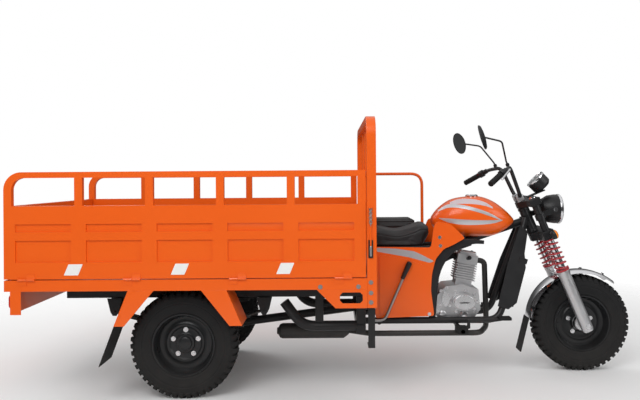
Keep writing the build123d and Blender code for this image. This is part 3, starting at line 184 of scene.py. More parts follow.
# %% [markdown]
# ## Finishes
# Real paint, rubber and metal are never one flat colour. Three effects are shared by most
# finishes, so each is a node group with named inputs: patches of slightly different tone
# and gloss, a fine grain that only shows in the bump, and dust that settles low down.

# %% Shared effects
def effect(name, inputs, outputs):
    """Empty shader node group with its sockets; returns the group and its two end nodes."""
    group = bpy.data.node_groups.new(name, "ShaderNodeTree")
    kinds = {float: "NodeSocketFloat", tuple: "NodeSocketColor"}
    for label, value in inputs:
        group.interface.new_socket(label, in_out="INPUT",
                                   socket_type=kinds[type(value)]).default_value = value
    for label, value in outputs:
        group.interface.new_socket(label, in_out="OUTPUT", socket_type=kinds[type(value)])
    return group, group.nodes.new("NodeGroupInput"), group.nodes.new("NodeGroupOutput")


GREY = (0.5, 0.5, 0.5, 1.0)


def patches_effect():
    """Soft patches that shift a colour towards a second tone, and the gloss with it."""
    inputs = [("Colour", GREY), ("Tone", GREY), ("Patches", 6.0), ("Roughness", 0.5), ("Spread", 0.1)]
    group, start, end = effect("patches", inputs, [("Colour", GREY), ("Roughness", 0.0)])
    place = add(group, "ShaderNodeTexCoord")
    noise = add(group, "ShaderNodeTexNoise")
    noise.inputs["Detail"].default_value = 5
    group.links.new(place.outputs["Object"], noise.inputs["Vector"])
    group.links.new(start.outputs["Patches"], noise.inputs["Scale"])
    blend = add(group, "ShaderNodeMix", data_type="RGBA")
    group.links.new(noise.outputs["Fac"], blend.inputs["Factor"])
    group.links.new(start.outputs["Colour"], blend.inputs["A"])
    group.links.new(start.outputs["Tone"], blend.inputs["B"])
    group.links.new(blend.outputs["Result"], end.inputs["Colour"])
    centred = add(group, "ShaderNodeMath", operation="SUBTRACT")
    centred.inputs[1].default_value = 0.5
    group.links.new(noise.outputs["Fac"], centred.inputs[0])
    gloss = add(group, "ShaderNodeMath", operation="MULTIPLY_ADD", use_clamp=True)
    group.links.new(centred.outputs[0], gloss.inputs[0])
    group.links.new(start.outputs["Spread"], gloss.inputs[1])
    group.links.new(start.outputs["Roughness"], gloss.inputs[2])
    group.links.new(gloss.outputs[0], end.inputs["Roughness"])
    return group


def grain_effect():
    """Fine grain for a bump: small cells broken up by a finer noise."""
    group, start, end = effect("grain", [("Fineness", 300.0), ("Cells", 0.5)], [("Height", 0.0)])
    place = add(group, "ShaderNodeTexCoord")
    cells = add(group, "ShaderNodeTexVoronoi")
    noise = add(group, "ShaderNodeTexNoise")
    for texture in (cells, noise):
        group.links.new(place.outputs["Object"], texture.inputs["Vector"])
        group.links.new(start.outputs["Fineness"], texture.inputs["Scale"])
    blend = add(group, "ShaderNodeMix", data_type="FLOAT")
    group.links.new(start.outputs["Cells"], blend.inputs["Factor"])
    group.links.new(noise.outputs["Fac"], blend.inputs["A"])
    group.links.new(cells.outputs["Distance"], blend.inputs["B"])
    group.links.new(blend.outputs["Result"], end.inputs["Height"])
    return group


def dust_effect():
    """Dust that lies thickest near the ground and thins out upwards."""
    inputs = [("Colour", GREY), ("Dust", GREY), ("Amount", 0.2), ("Top", 0.6)]
    group, start, end = effect("road_dust", inputs, [("Colour", GREY)])
    place = add(group, "ShaderNodeTexCoord")
    split = add(group, "ShaderNodeSeparateXYZ")
    group.links.new(place.outputs["Object"], split.inputs[0])
    height = add(group, "ShaderNodeMapRange")
    height.inputs["To Min"].default_value, height.inputs["To Max"].default_value = 1.0, 0.0
    group.links.new(split.outputs["Z"], height.inputs["Value"])
    group.links.new(start.outputs["Top"], height.inputs["From Max"])
    noise = add(group, "ShaderNodeTexNoise")
    noise.inputs["Scale"].default_value = 14
    noise.inputs["Detail"].default_value = 8
    group.links.new(place.outputs["Object"], noise.inputs["Vector"])
    mask = add(group, "ShaderNodeMath", operation="MULTIPLY")
    group.links.new(height.outputs["Result"], mask.inputs[0])
    group.links.new(noise.outputs["Fac"], mask.inputs[1])
    share = add(group, "ShaderNodeMath", operation="MULTIPLY", use_clamp=True)
    group.links.new(mask.outputs[0], share.inputs[0])
    group.links.new(start.outputs["Amount"], share.inputs[1])
    blend = add(group, "ShaderNodeMix", data_type="RGBA")
    group.links.new(share.outputs[0], blend.inputs["Factor"])
    group.links.new(start.outputs["Colour"], blend.inputs["A"])
    group.links.new(start.outputs["Dust"], blend.inputs["B"])
    group.links.new(blend.outputs["Result"], end.inputs["Colour"])
    return group


PATCHES, GRAIN, DUST = patches_effect(), grain_effect(), dust_effect()
print("shared effects:", PATCHES.name, GRAIN.name, DUST.name)

# %% [markdown]
# A finish places those effects with its own values. What is the same all over a surface,
# such as how metallic it is or how thick its lacquer is, is set on the shader itself.

# %% Finishes
ROAD_DUST = (0.30, 0.26, 0.21, 1.0)


def use_effect(tree, group, **values):
    """Place a shared effect in a material, with its own values."""
    node = add(tree, "ShaderNodeGroup", node_tree=group)
    for name, value in values.items():
        node.inputs[name].default_value = value
    return node


def finish(name, colour, tone, roughness, spread=0.1, patches=6.0, grain=None, dust=None, **shader_values):
    """Material made of the shared effects.

    grain is (fineness, share of cells, depth in metres); dust is (amount, height where it ends).
    """
    material = bpy.data.materials.new(name)
    material.use_nodes = True
    tree = material.node_tree
    shader = tree.nodes["Principled BSDF"]
    for socket, value in shader_values.items():
        shader.inputs[socket.replace("_", " ")].default_value = value
    tint = use_effect(tree, PATCHES, Colour=(*colour, 1), Tone=(*tone, 1), Patches=patches,
                      Roughness=roughness, Spread=spread)
    tree.links.new(tint.outputs["Roughness"], shader.inputs["Roughness"])
    colour_out = tint.outputs["Colour"]
    if dust:
        layer = use_effect(tree, DUST, Dust=ROAD_DUST, Amount=dust[0], Top=dust[1])
        tree.links.new(colour_out, layer.inputs["Colour"])
        colour_out = layer.outputs["Colour"]
    tree.links.new(colour_out, shader.inputs["Base Color"])
    if grain:
        texture = use_effect(tree, GRAIN, Fineness=grain[0], Cells=grain[1])
        bump = add(tree, "ShaderNodeBump")
        bump.inputs["Distance"].default_value = grain[2]
        tree.links.new(texture.outputs["Height"], bump.inputs["Height"])
        tree.links.new(bump.outputs["Normal"], shader.inputs["Normal"])
    return material


ORANGE = finish("orange_paint", (0.80, 0.105, 0.004), (0.84, 0.120, 0.006), 0.30, 0.10, 2.0,
                grain=(500.0, 0.0, 0.00003), dust=(0.04, 0.75), Specular_IOR_Level=0.3, Coat_Weight=0.25,
                Coat_Roughness=0.08)
BLACK = finish("black_frame_paint", (0.010, 0.010, 0.011), (0.020, 0.020, 0.021), 0.38, 0.15, 8.0,
               grain=(700.0, 0.2, 0.00006), dust=(0.06, 0.6), Specular_IOR_Level=0.3)
WHEEL_BLACK = finish("black_wheel_paint", (0.007, 0.008, 0.009), (0.014, 0.015, 0.017), 0.30, 0.15, 9.0,
                     dust=(0.06, 0.55), Specular_IOR_Level=0.35)
RUBBER = finish("tyre_rubber", (0.009, 0.009, 0.010), (0.018, 0.018, 0.018), 0.68, 0.15, 12.0,
                grain=(900.0, 0.3, 0.0001), dust=(0.06, 0.5), Specular_IOR_Level=0.15)
TRIM_RUBBER = finish("trim_rubber", (0.010, 0.010, 0.010), (0.020, 0.020, 0.020), 0.60, 0.15, 10.0,
                     grain=(800.0, 0.5, 0.0001), dust=(0.06, 0.4), Specular_IOR_Level=0.15)
STEEL = finish("tread_plate_steel", (0.30, 0.30, 0.30), (0.42, 0.41, 0.40), 0.42, 0.25, 7.0,
               grain=(260.0, 0.2, 0.00008), Metallic=0.85)
SPRING_STEEL = finish("leaf_spring_steel", (0.020, 0.020, 0.021), (0.045, 0.042, 0.040), 0.5, 0.2, 14.0,
                      grain=(420.0, 0.2, 0.0001), dust=(0.2, 0.6), Metallic=0.4)
ALLOY = finish("cast_alloy", (0.56, 0.56, 0.57), (0.70, 0.70, 0.71), 0.36, 0.2, 16.0,
               grain=(620.0, 0.3, 0.00012), Metallic=0.9)
MACHINED = finish("machined_alloy", (0.66, 0.66, 0.67), (0.75, 0.75, 0.76), 0.26, 0.12, 12.0, Metallic=0.95)
EXHAUST_BLACK = finish("heatproof_black", (0.012, 0.012, 0.013), (0.028, 0.026, 0.025), 0.48, 0.2, 9.0,
                       grain=(600.0, 0.3, 0.00008), dust=(0.2, 0.5), Metallic=0.2)
CHROME = finish("chrome", (0.72, 0.72, 0.74), (0.80, 0.80, 0.82), 0.10, 0.10, 5.0, Metallic=1.0)
SPRING_RED = finish("red_spring_paint", (0.36, 0.012, 0.022), (0.44, 0.018, 0.028), 0.28, 0.1, 10.0,
                    Coat_Weight=0.5)
VINYL = finish("seat_vinyl", (0.010, 0.010, 0.011), (0.017, 0.017, 0.018), 0.46, 0.12, 9.0,
               grain=(420.0, 0.85, 0.00022), Specular_IOR_Level=0.4)
PLASTIC = finish("black_plastic", (0.010, 0.010, 0.011), (0.018, 0.018, 0.019), 0.42, 0.12, 11.0,
                 grain=(900.0, 0.6, 0.00006), Specular_IOR_Level=0.35)
SILVER = finish("silver_stripe", (0.52, 0.52, 0.55), (0.66, 0.66, 0.68), 0.32, 0.08, 4.0,
                Metallic=0.55, Coat_Weight=0.4)
# Painted reflection: a pale lilac that stands in for the bright reflection along the glossy tank's top.
PAINTED_TOP_REFLECTION = finish("painted_top_reflection", (0.62, 0.50, 0.52), (0.66, 0.58, 0.62), 0.34, 0.06, 3.0,
               Metallic=0.3, Coat_Weight=0.4)
PEARL = finish("white_reflector", (0.80, 0.80, 0.78), (0.86, 0.86, 0.85), 0.30, 0.05, 30.0,
               grain=(500.0, 1.0, 0.0001), Coat_Weight=0.6)
AMBER = finish("amber_lens", (0.85, 0.20, 0.005), (0.90, 0.28, 0.01), 0.22, 0.06, 40.0,
               grain=(280.0, 1.0, 0.0002), Coat_Weight=0.6)
RED_LENS = finish("red_lens", (0.50, 0.010, 0.010), (0.60, 0.02, 0.015), 0.22, 0.06, 40.0,
                  grain=(280.0, 1.0, 0.0002), Coat_Weight=0.6)
MIRROR = finish("mirror_glass", (0.72, 0.73, 0.74), (0.76, 0.77, 0.78), 0.04, 0.02, 3.0, Metallic=1.0)
GLASS = finish("clear_glass", (0.97, 0.98, 0.98), (0.99, 0.99, 0.99), 0.03, 0.02, 4.0,
               Transmission_Weight=1.0, IOR=1.45)
DIAL = finish("dial_face", (0.012, 0.012, 0.014), (0.018, 0.018, 0.020), 0.5, 0.1, 9.0)
WHITE = finish("white_print", (0.78, 0.78, 0.76), (0.82, 0.82, 0.80), 0.5, 0.1, 9.0)
print(len(bpy.data.materials), "finishes")

# %% [markdown]
# ## Tools for shapes
# Shapes are written in millimetres, as on the drawings, and scaled to metres when they
# become a piece. A turned shape is a profile spun about an axis, a tube is a circle swept
# along a path with rounded corners, and a plate is an outline with a thickness.

# %% Turned shapes, tubes and plates
MM = 0.001


def rounded(points, reach, steps=4, closed=True):
    """Corner points with each corner cut into a small arc that starts a reach before it."""
    corners = [Vector(point) for point in points]
    count = len(corners)
    path = []
    for i, corner in enumerate(corners):
        if not closed and i in (0, count - 1):
            path.append(corner)
            continue
        back, ahead = corners[i - 1] - corner, corners[(i + 1) % count] - corner
        near = min(reach, 0.48 * back.length, 0.48 * ahead.length)
        start, end = corner + back.normalized() * near, corner + ahead.normalized() * near
        for step in range(steps + 1):
            t = step / steps
            path.append(start * (1 - t) ** 2 + corner * 2 * t * (1 - t) + end * t**2)
    return path


def made(bm, name):
    """Plain mesh from a bmesh, with merged corners and outward faces."""
    bmesh.ops.remove_doubles(bm, verts=bm.verts, dist=0.001)
    bmesh.ops.recalc_face_normals(bm, faces=bm.faces)
    mesh = bpy.data.meshes.new(name)
    bm.to_mesh(mesh)
    bm.free()
    return mesh


def loft(rings, name="loft", closed_ends=True, round_trip=False):
    """Mesh through rings of points with the same count; ends are capped unless it closes on itself."""
    bm = bmesh.new()
    grid = [[bm.verts.new(point) for point in ring] for ring in rings]
    pairs = list(zip(grid, grid[1:])) + ([(grid[-1], grid[0])] if round_trip else [])
    for lower, upper in pairs:
        for i in range(len(lower)):
            j = (i + 1) % len(lower)
            bm.faces.new((lower[i], lower[j], upper[j], upper[i]))
    if closed_ends and not round_trip:
        bm.faces.new(list(reversed(grid[0])))
        bm.faces.new(grid[-1])
    return made(bm, name)


def turned(profile, place, steps=72, name="turned"):
    """Closed profile of (radius, height) pairs spun about the local Z axis."""
    rings = []
    for step in range(steps):
        angle = tau * step / steps
        rings.append([place @ Vector((r * cos(angle), r * sin(angle), h)) for r, h in profile])
    return loft(rings, name, round_trip=True)


def swept(path, radius, sides=18, name="tube"):
    """Round tube along points; radius is one number or one for each point."""
    points = [Vector(point) for point in path]
    radii = radius if isinstance(radius, (list, tuple)) else [radius] * len(points)
    rings, side = [], None
    for i, (point, size) in enumerate(zip(points, radii)):
        ahead = (points[min(i + 1, len(points) - 1)] - points[max(i - 1, 0)]).normalized()
        side = ahead.orthogonal() if side is None else side - ahead * side.dot(ahead)
        side.normalize()
        up = ahead.cross(side)
        turns = [tau * step / sides for step in range(sides)]
        rings.append([point + (side * cos(a) + up * sin(a)) * size for a in turns])
    return loft(rings, name)


def tube(points, radius, reach=0.0, sides=18):
    """Bent tube through corner points."""
    return swept(rounded(points, reach, 8, closed=False) if reach else points, radius, sides)


def bevelled(bm, width, least=30.0, segments=2):
    """Round the edges of a bmesh that turn by more than an angle in degrees; too short ones stay sharp."""
    sharp = []
    for edge in bm.edges:
        if len(edge.link_faces) == 2 and edge.calc_face_angle() > radians(least):
            beside = [other.calc_length() for vertex in edge.verts for other in vertex.link_edges]
            if min(beside) > 2.1 * width:
                sharp.append(edge)
    bmesh.ops.bevel(bm, geom=sharp, offset=width, segments=segments, profile=0.5, affect="EDGES",
                    clamp_overlap=True)
    bmesh.ops.remove_doubles(bm, verts=bm.verts, dist=0.02)
    bmesh.ops.dissolve_degenerate(bm, edges=bm.edges, dist=0.02)


def plate(points, low, high, place=Matrix(), edge=1.5):
    """Outline in local X and Y made into a plate between two heights along local Z, edges rounded."""
    bm = bmesh.new()
    face = bm.faces.new([bm.verts.new((*point[:2], low)) for point in points])
    raised = bmesh.ops.extrude_face_region(bm, geom=[face])["geom"]
    bmesh.ops.translate(bm, verts=[v for v in raised if isinstance(v, bmesh.types.BMVert)],
                        vec=(0, 0, high - low))
    bmesh.ops.recalc_face_normals(bm, faces=bm.faces)
    if edge:
        bevelled(bm, edge)
    bm.transform(place)
    return made(bm, "plate")


def slab(x, y, z, place=Matrix(), edge=1.5):
    """Box between limits on each axis, edges rounded."""
    return plate([(x[0], y[0]), (x[1], y[0]), (x[1], y[1]), (x[0], y[1])], z[0], z[1], place, edge)


def from_node(node, edge=0.0, least=30.0):
    """Copy of a CAD node's mesh in millimetres, corners merged, flat faces joined and edges rounded."""
    bm = bmesh.new()
    bm.from_mesh(NODES[node].data)
    bm.transform(Matrix.Scale(1 / MM, 4))
    bmesh.ops.remove_doubles(bm, verts=bm.verts, dist=0.01)
    bmesh.ops.dissolve_limit(bm, angle_limit=radians(0.5), verts=bm.verts, edges=bm.edges)
    if edge:
        bevelled(bm, edge, least)
    mesh = bpy.data.meshes.new(node)
    bm.to_mesh(mesh)
    bm.free()
    return mesh


def piece(name, body, slot, parts, *nodes, smooth=34.0):
    """One object from (mesh, finish) pairs, hung on a body; it stands for the CAD nodes that are named."""
    bm = bmesh.new()
    finishes = []
    for mesh, material in parts:
        if material not in finishes:
            finishes.append(material)
        first = len(bm.faces)
        bm.from_mesh(mesh)
        bm.faces.ensure_lookup_table()
        for face in bm.faces[first:]:
            face.material_index = finishes.index(material)
            face.smooth = True
    bm.transform(Matrix.Scale(MM, 4))
    mesh = bpy.data.meshes.new(name)
    bm.to_mesh(mesh)
    bm.free()
    mesh.set_sharp_from_angle(angle=radians(smooth))
    for material in finishes:
        mesh.materials.append(material)
    obj = bpy.data.objects.new(name, mesh)
    scene.collection.objects.link(obj)
    even = obj.modifiers.new("even_shading", "WEIGHTED_NORMAL")
    even.keep_sharp = True
    obj.data = bpy.data.meshes.new_from_object(obj.evaluated_get(bpy.context.evaluated_depsgraph_get()))
    obj.modifiers.remove(even)
    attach(obj, body)
    if nodes:
        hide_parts(*nodes)
    print(name, "on", body, len(mesh.polygons), "faces")
    return obj


def centre(node):
    """Middle of a CAD node's box, in millimetres."""
    low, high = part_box(node)
    return (low + high) / 2 / MM


def axle_frame(node):
    """Frame whose Z axis is the axle of a wheel node."""
    turn = Matrix(((1, 0, 0, 0), (0, 0, 1, 0), (0, -1, 0, 0), (0, 0, 0, 1)))
    return Matrix.Translation(centre(node)) @ turn


# %% [markdown]
# ## Repeats with Geometry Nodes
# Treads, bolts and fins are the same shape many times over. Each rule is a small node
# tree: one turns copies about an axle, one sets copies on points and turns them to face
# outwards, and one places copies in a row. The result is made into a plain mesh.

# %% Node trees for repeats
def repeat_tree(name, sockets):
    """Empty Geometry Nodes tree with its input sockets; returns the tree and its two end nodes."""
    tree = bpy.data.node_groups.new(name, "GeometryNodeTree")
    tree.interface.new_socket("Geometry", in_out="INPUT", socket_type="NodeSocketGeometry")
    for label, kind in sockets:
        tree.interface.new_socket(label, in_out="INPUT", socket_type="NodeSocket" + kind)
    tree.interface.new_socket("Geometry", in_out="OUTPUT", socket_type="NodeSocketGeometry")
    return tree, tree.nodes.new("NodeGroupInput"), tree.nodes.new("NodeGroupOutput")


def finish_tree(tree, start, end, instances):
    """Realize the copies, give them their finish and put them out."""
    real = add(tree, "GeometryNodeRealizeInstances")
    paint = add(tree, "GeometryNodeSetMaterial")
    tree.links.new(instances, real.inputs[0])
    tree.links.new(real.outputs[0], paint.inputs["Geometry"])
    tree.links.new(start.outputs["Finish"], paint.inputs["Material"])
    tree.links.new(paint.outputs[0], end.inputs[0])


def round_axle_tree():
    """Copies of a shape turned about the Y axis through a centre."""
    tree, start, end = repeat_tree("round_axle",
                                   [("Copies", "Int"), ("Centre", "Vector"), ("Finish", "Material")])
    line = add(tree, "GeometryNodeMeshLine")
    line.inputs["Offset"].default_value = (0, 0, 0)
    tree.links.new(start.outputs["Copies"], line.inputs["Count"])
    tree.links.new(start.outputs["Centre"], line.inputs["Start Location"])
    index = add(tree, "GeometryNodeInputIndex")
    share = add(tree, "ShaderNodeMath", operation="DIVIDE")
    tree.links.new(index.outputs[0], share.inputs[0])
    tree.links.new(start.outputs["Copies"], share.inputs[1])
    angle = add(tree, "ShaderNodeMath", operation="MULTIPLY")
    angle.inputs[1].default_value = tau
    tree.links.new(share.outputs[0], angle.inputs[0])
    turn = add(tree, "ShaderNodeCombineXYZ")
    tree.links.new(angle.outputs[0], turn.inputs["Y"])
    copies = add(tree, "GeometryNodeInstanceOnPoints")
    tree.links.new(line.outputs[0], copies.inputs["Points"])
    tree.links.new(start.outputs["Geometry"], copies.inputs["Instance"])
    tree.links.new(turn.outputs[0], copies.inputs["Rotation"])
    finish_tree(tree, start, end, copies.outputs[0])
    return tree


def bolt_tree():
    """Hexagon bolt heads with a washer on points, each standing along the point's own direction."""
    tree, start, end = repeat_tree("bolts",
                                   [("Radius", "Float"), ("Height", "Float"), ("Finish", "Material")])
    washer = add(tree, "GeometryNodeMeshCylinder")
    head = add(tree, "GeometryNodeMeshCylinder")
    washer.inputs["Vertices"].default_value, head.inputs["Vertices"].default_value = 20, 6
    wide = add(tree, "ShaderNodeMath", operation="MULTIPLY")
    wide.inputs[1].default_value = 1.45
    tree.links.new(start.outputs["Radius"], wide.inputs[0])
    tree.links.new(wide.outputs[0], washer.inputs["Radius"])
    tree.links.new(start.outputs["Radius"], head.inputs["Radius"])
    thin = add(tree, "ShaderNodeMath", operation="MULTIPLY")
    thin.inputs[1].default_value = 0.6
    tree.links.new(start.outputs["Height"], thin.inputs[0])
    tree.links.new(thin.outputs[0], washer.inputs["Depth"])
    double = add(tree, "ShaderNodeMath", operation="MULTIPLY")
    double.inputs[1].default_value = 2.0
    tree.links.new(start.outputs["Height"], double.inputs[0])
    tree.links.new(double.outputs[0], head.inputs["Depth"])
    both = add(tree, "GeometryNodeJoinGeometry")
    tree.links.new(washer.outputs["Mesh"], both.inputs[0])
    tree.links.new(head.outputs["Mesh"], both.inputs[0])
    facing = add(tree, "GeometryNodeInputNamedAttribute", data_type="FLOAT_VECTOR")
    facing.inputs["Name"].default_value = "facing"
    turn = add(tree, "FunctionNodeAlignRotationToVector", axis="Z")
    tree.links.new(facing.outputs["Attribute"], turn.inputs["Vector"])
    copies = add(tree, "GeometryNodeInstanceOnPoints")
    tree.links.new(start.outputs["Geometry"], copies.inputs["Points"])
    tree.links.new(both.outputs[0], copies.inputs["Instance"])
    tree.links.new(turn.outputs[0], copies.inputs["Rotation"])
    finish_tree(tree, start, end, copies.outputs[0])
    return tree


def row_tree():
    """Copies of a shape in a row, a step apart."""
    tree, start, end = repeat_tree("row", [("Copies", "Int"), ("Step", "Vector"), ("Finish", "Material")])
    line = add(tree, "GeometryNodeMeshLine")
    tree.links.new(start.outputs["Copies"], line.inputs["Count"])
    tree.links.new(start.outputs["Step"], line.inputs["Offset"])
    copies = add(tree, "GeometryNodeInstanceOnPoints")
    tree.links.new(line.outputs[0], copies.inputs["Points"])
    tree.links.new(start.outputs["Geometry"], copies.inputs["Instance"])
    finish_tree(tree, start, end, copies.outputs[0])
    return tree


def spring_tree():
    """Round wire wound into a coil about the local Z axis, from Z 0 upwards."""
    sockets = [("Turns", "Float"), ("Radius", "Float"), ("Wire", "Float"), ("Height", "Float"),
               ("Finish", "Material")]
    tree, start, end = repeat_tree("coil_spring", sockets)
    coil = add(tree, "GeometryNodeCurveSpiral")
    coil.inputs["Resolution"].default_value = 28
    tree.links.new(start.outputs["Turns"], coil.inputs["Rotations"])
    tree.links.new(start.outputs["Radius"], coil.inputs["Start Radius"])
    tree.links.new(start.outputs["Radius"], coil.inputs["End Radius"])
    tree.links.new(start.outputs["Height"], coil.inputs["Height"])
    wire = add(tree, "GeometryNodeCurvePrimitiveCircle")
    wire.inputs["Resolution"].default_value = 12
    tree.links.new(start.outputs["Wire"], wire.inputs["Radius"])
    body = add(tree, "GeometryNodeCurveToMesh")
    body.inputs["Fill Caps"].default_value = True
    tree.links.new(coil.outputs[0], body.inputs["Curve"])
    tree.links.new(wire.outputs[0], body.inputs["Profile Curve"])
    finish_tree(tree, start, end, body.outputs[0])
    return tree


ROUND_AXLE, BOLTS, ROW, COIL = round_axle_tree(), bolt_tree(), row_tree(), spring_tree()


def run_tree(tree, mesh, **values):
    """Plain mesh in millimetres that a tree makes from an input mesh."""
    obj = bpy.data.objects.new("repeat", mesh)
    scene.collection.objects.link(obj)
    modifier = obj.modifiers.new("repeat", "NODES")
    modifier.node_group = tree
    for socket in tree.interface.items_tree:
        if socket.in_out == "INPUT" and socket.name in values:
            modifier[socket.identifier] = values[socket.name]
    result = bpy.data.meshes.new_from_object(obj.evaluated_get(bpy.context.evaluated_depsgraph_get()))
    obj.modifiers.remove(modifier)
    bpy.data.objects.remove(obj)
    return result


def bolts(places, radius=8.0, height=3.0, material=MACHINED):
    """Bolt heads at (point, direction) pairs."""
    points = bpy.data.meshes.new("bolt_points")
    points.from_pydata([point for point, _ in places], [], [])
    facing = points.attributes.new("facing", "FLOAT_VECTOR", "POINT")
    for item, (_, direction) in zip(facing.data, places):
        item.vector = direction
    return run_tree(BOLTS, points, Radius=radius, Height=height, Finish=material)


print("trees:", [tree.name for tree in (ROUND_AXLE, BOLTS, ROW, COIL)])

# %% [markdown]
# ## Tyres and wheels
# The tyres are small tractor-like road tyres: a rounded carcass, a band of blocks in the
# middle and heavy shoulder lugs. The carcass is turned, and one set of blocks is turned
# about the axle by the tree. The rims are pressed black steel with a deep dish.

# %% Tyres
TYRE_RADIUS, TREAD_DEPTH, RIM_RADIUS = 280.0, 11.0, 160.0
TREAD_COPIES = 46


def carcass(node):
    """Tyre body with a rounded shoulder and two raised rings on each sidewall."""
    base = TYRE_RADIUS - TREAD_DEPTH
    half = [(RIM_RADIUS + 0.4, 52), (168, 60), (176, 62.5), (180, 61), (200, 64.5), (214, 65.6),
            (217, 63.8), (226, 65.5), (229, 64), (244, 63.5), (256, 59), (264, 52), (base, 40),
            (base + 0.6, 16)]
    profile = [(r, -h) for r, h in half] + [(r, h) for r, h in reversed(half)]
    return turned(profile, axle_frame(node), 120)


def tread_blocks(node):
    """One pitch of the tread, turned about the axle: two middle blocks and two shoulder lugs."""
    base, top = TYRE_RADIUS - TREAD_DEPTH - 3, TYRE_RADIUS - 0.4
    pitch = tau * TYRE_RADIUS / TREAD_COPIES
    lug = [(17, 44, 0.0), (-44, -17, 0.5)]
    parts = []
    for low, high, shift in lug:
        x = pitch * (shift - 0.25)
        parts.append(slab((x - 9, x + 11), (low, high), (base, top), edge=1.2))
    for side, shift in ((1, 0.1), (-1, 0.6)):
        x = pitch * (shift - 0.25)
        shoulder = [(46, top - 1.5), (58, top - 12), (64.5, 250), (62, 246), (52, 252), (44, base)]
        wedge = loft([[Vector((x + dx, side * y, z)) for y, z in shoulder] for dx in (-11, 11)])
        parts.append(wedge)
    mid = slab((-pitch * 0.5 + 3, pitch * 0.5 - 3), (-11, 11), (base, top), edge=1.2)
    parts.append(mid)
    bm = bmesh.new()
    for mesh in parts:
        bm.from_mesh(mesh)
    one = bpy.data.meshes.new("tread_pitch")
    bm.to_mesh(one)
    bm.free()
    return run_tree(ROUND_AXLE, one, Copies=TREAD_COPIES, Centre=centre(node), Finish=RUBBER)


for node in ("front_tyre", "rear_tyre_right", "rear_tyre_left"):
    piece(node + "_treaded", BODY_OF[node], "tyre", [(carcass(node), RUBBER), (tread_blocks(node), RUBBER)],
          node)

# %% [markdown]
# The rear rims are dished to one side only. The front rim is the same on both sides, round
# an alloy hub. Each has five bolts on its circle.

# %% Wheels
WHEEL_BOLTS, BOLT_CIRCLE = 5, 69.0
REAR_RIM = [(0, -23), (24, -23), (33, -19), (36, -11), (47, -10), (50, -1), (58, 3), (80, 3), (88, -4),
            (98, -5), (106, 2), (122, 5), (136, 3), (145, -10), (149, -40), (152, -54), (157, -60),
            (163, -61), (164, -56), (159.6, -50), (159.6, 50), (164, 56), (163, 61), (156, 60), (150, 50),
            (147, 18), (60, 15), (49, 20), (47, 39.5), (22.2, 39.5), (22.2, 2), (0, 2)]
FRONT_HALF_RIM = [(47, 62), (49, 30), (58, 12), (80, 9), (92, 14), (102, 14), (110, 8), (126, 6), (140, 10),
                  (147, 24), (150, 50), (157, 60), (163, 61), (164, 56), (159.6, 50)]
FRONT_HUB = [(10.2, -67.5), (26, -67.5), (40, -64), (47, -56), (49, -34), (49, 34), (47, 56), (40, 64),
             (26, 67.5), (10.2, 67.5)]


def wheel_bolts(node, height, out):
    """Wheel bolts on their circle; height is along the axle, out the side they stand on."""
    middle = centre(node)
    places = []
    for step in range(WHEEL_BOLTS):
        angle = tau * (step + 0.25) / WHEEL_BOLTS
        spot = Vector((BOLT_CIRCLE * cos(angle), height, BOLT_CIRCLE * sin(angle)))
        places.append((middle + spot, (0, out, 0)))
    return bolts(places, 9.0, 5.0)


for node, side in (("rear_wheel_right", 1), ("rear_wheel_left", -1)):
    flip = Matrix.Scale(side, 4, (0, 0, 1))
    tyre_node = node.replace("wheel", "tyre")
    rim = turned(REAR_RIM, axle_frame(tyre_node) @ flip, 96)
    piece(node + "_rim", BODY_OF[node], "wheel_paint",
          [(rim, WHEEL_BLACK), (wheel_bolts(tyre_node, side * 1.0, -side), MACHINED)], node)

front_profile = [(r, -h) for r, h in FRONT_HALF_RIM] + [(r, h) for r, h in reversed(FRONT_HALF_RIM)]
front_rim = turned(front_profile, axle_frame("front_tyre"), 96)
front_hub = turned(FRONT_HUB, axle_frame("front_tyre"), 64)
piece("front_wheel_rim", "front_wheel", "wheel_paint",
      [(front_rim, WHEEL_BLACK), (front_hub, ALLOY), (wheel_bolts("front_tyre", -11, -1), MACHINED),
       (wheel_bolts("front_tyre", 11, 1), MACHINED)], "front_wheel")

# %% [markdown]
# ## Places on the vehicle
# Many pieces hang on the same few lines: the steering axis with its two fork legs, the
# tubes of the rider's frame, the engine and the rear axle. They are the CAD model's sizes.

# %% Places
SIDES = (-1, 1)
STEER_ANGLE = radians(22.5)
FORK_OFFSET, FORK_Y = 45.0, 122.0
HEAD_LOW, HEAD_HIGH = 602.0, 753.0
YOKE_TOP = 797.0
CROSS_Z, CRADLE_Y, ARCH_Y = 320.0, 130.0, 115.0
BED_Y = 625.0
FRONT_AXLE = centre("front_tyre")
REAR_AXLE = Vector((centre("rear_tyre_right").x, 0, FRONT_AXLE.z))
HEADBOARD_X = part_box("headboard")[1].x / MM
CROSS_X = HEADBOARD_X - 70
ARCH_X, ENGINE_X, TIE_X, DOWN_TUBE_X = (FRONT_AXLE.x - setback for setback in (890, 735, 665, 505))
AHEAD = Vector((cos(STEER_ANGLE), 0, sin(STEER_ANGLE)))
UPWARD = Vector((-sin(STEER_ANGLE), 0, cos(STEER_ANGLE)))
STEER = Matrix.Translation(FRONT_AXLE - AHEAD * FORK_OFFSET) @ Matrix(
    ((AHEAD.x, 0, UPWARD.x, 0), (0, 1, 0, 0), (AHEAD.z, 0, UPWARD.z, 0), (0, 0, 0, 1)))


def facing(point, direction):
    """Frame at a point whose Z axis looks along a direction."""
    return Matrix.Translation(point) @ Vector(direction).to_track_quat("Z", "Y").to_matrix().to_4x4()


def leg_frame(side):
    """Frame on a fork leg, with Z along the steering axis."""
    return STEER @ Matrix.Translation((FORK_OFFSET, side * FORK_Y, 0))


def upright(side):
    """Frame for outlines drawn in X and Z, with local Z out of one side of the vehicle."""
    return Matrix(((1, 0, 0, 0), (0, 0, side, 0), (0, 1, 0, 0), (0, 0, 0, 1)))


def steered(*points):
    """Points given along the steering axis, in the vehicle's frame."""
    return [STEER @ Vector(point) for point in points]


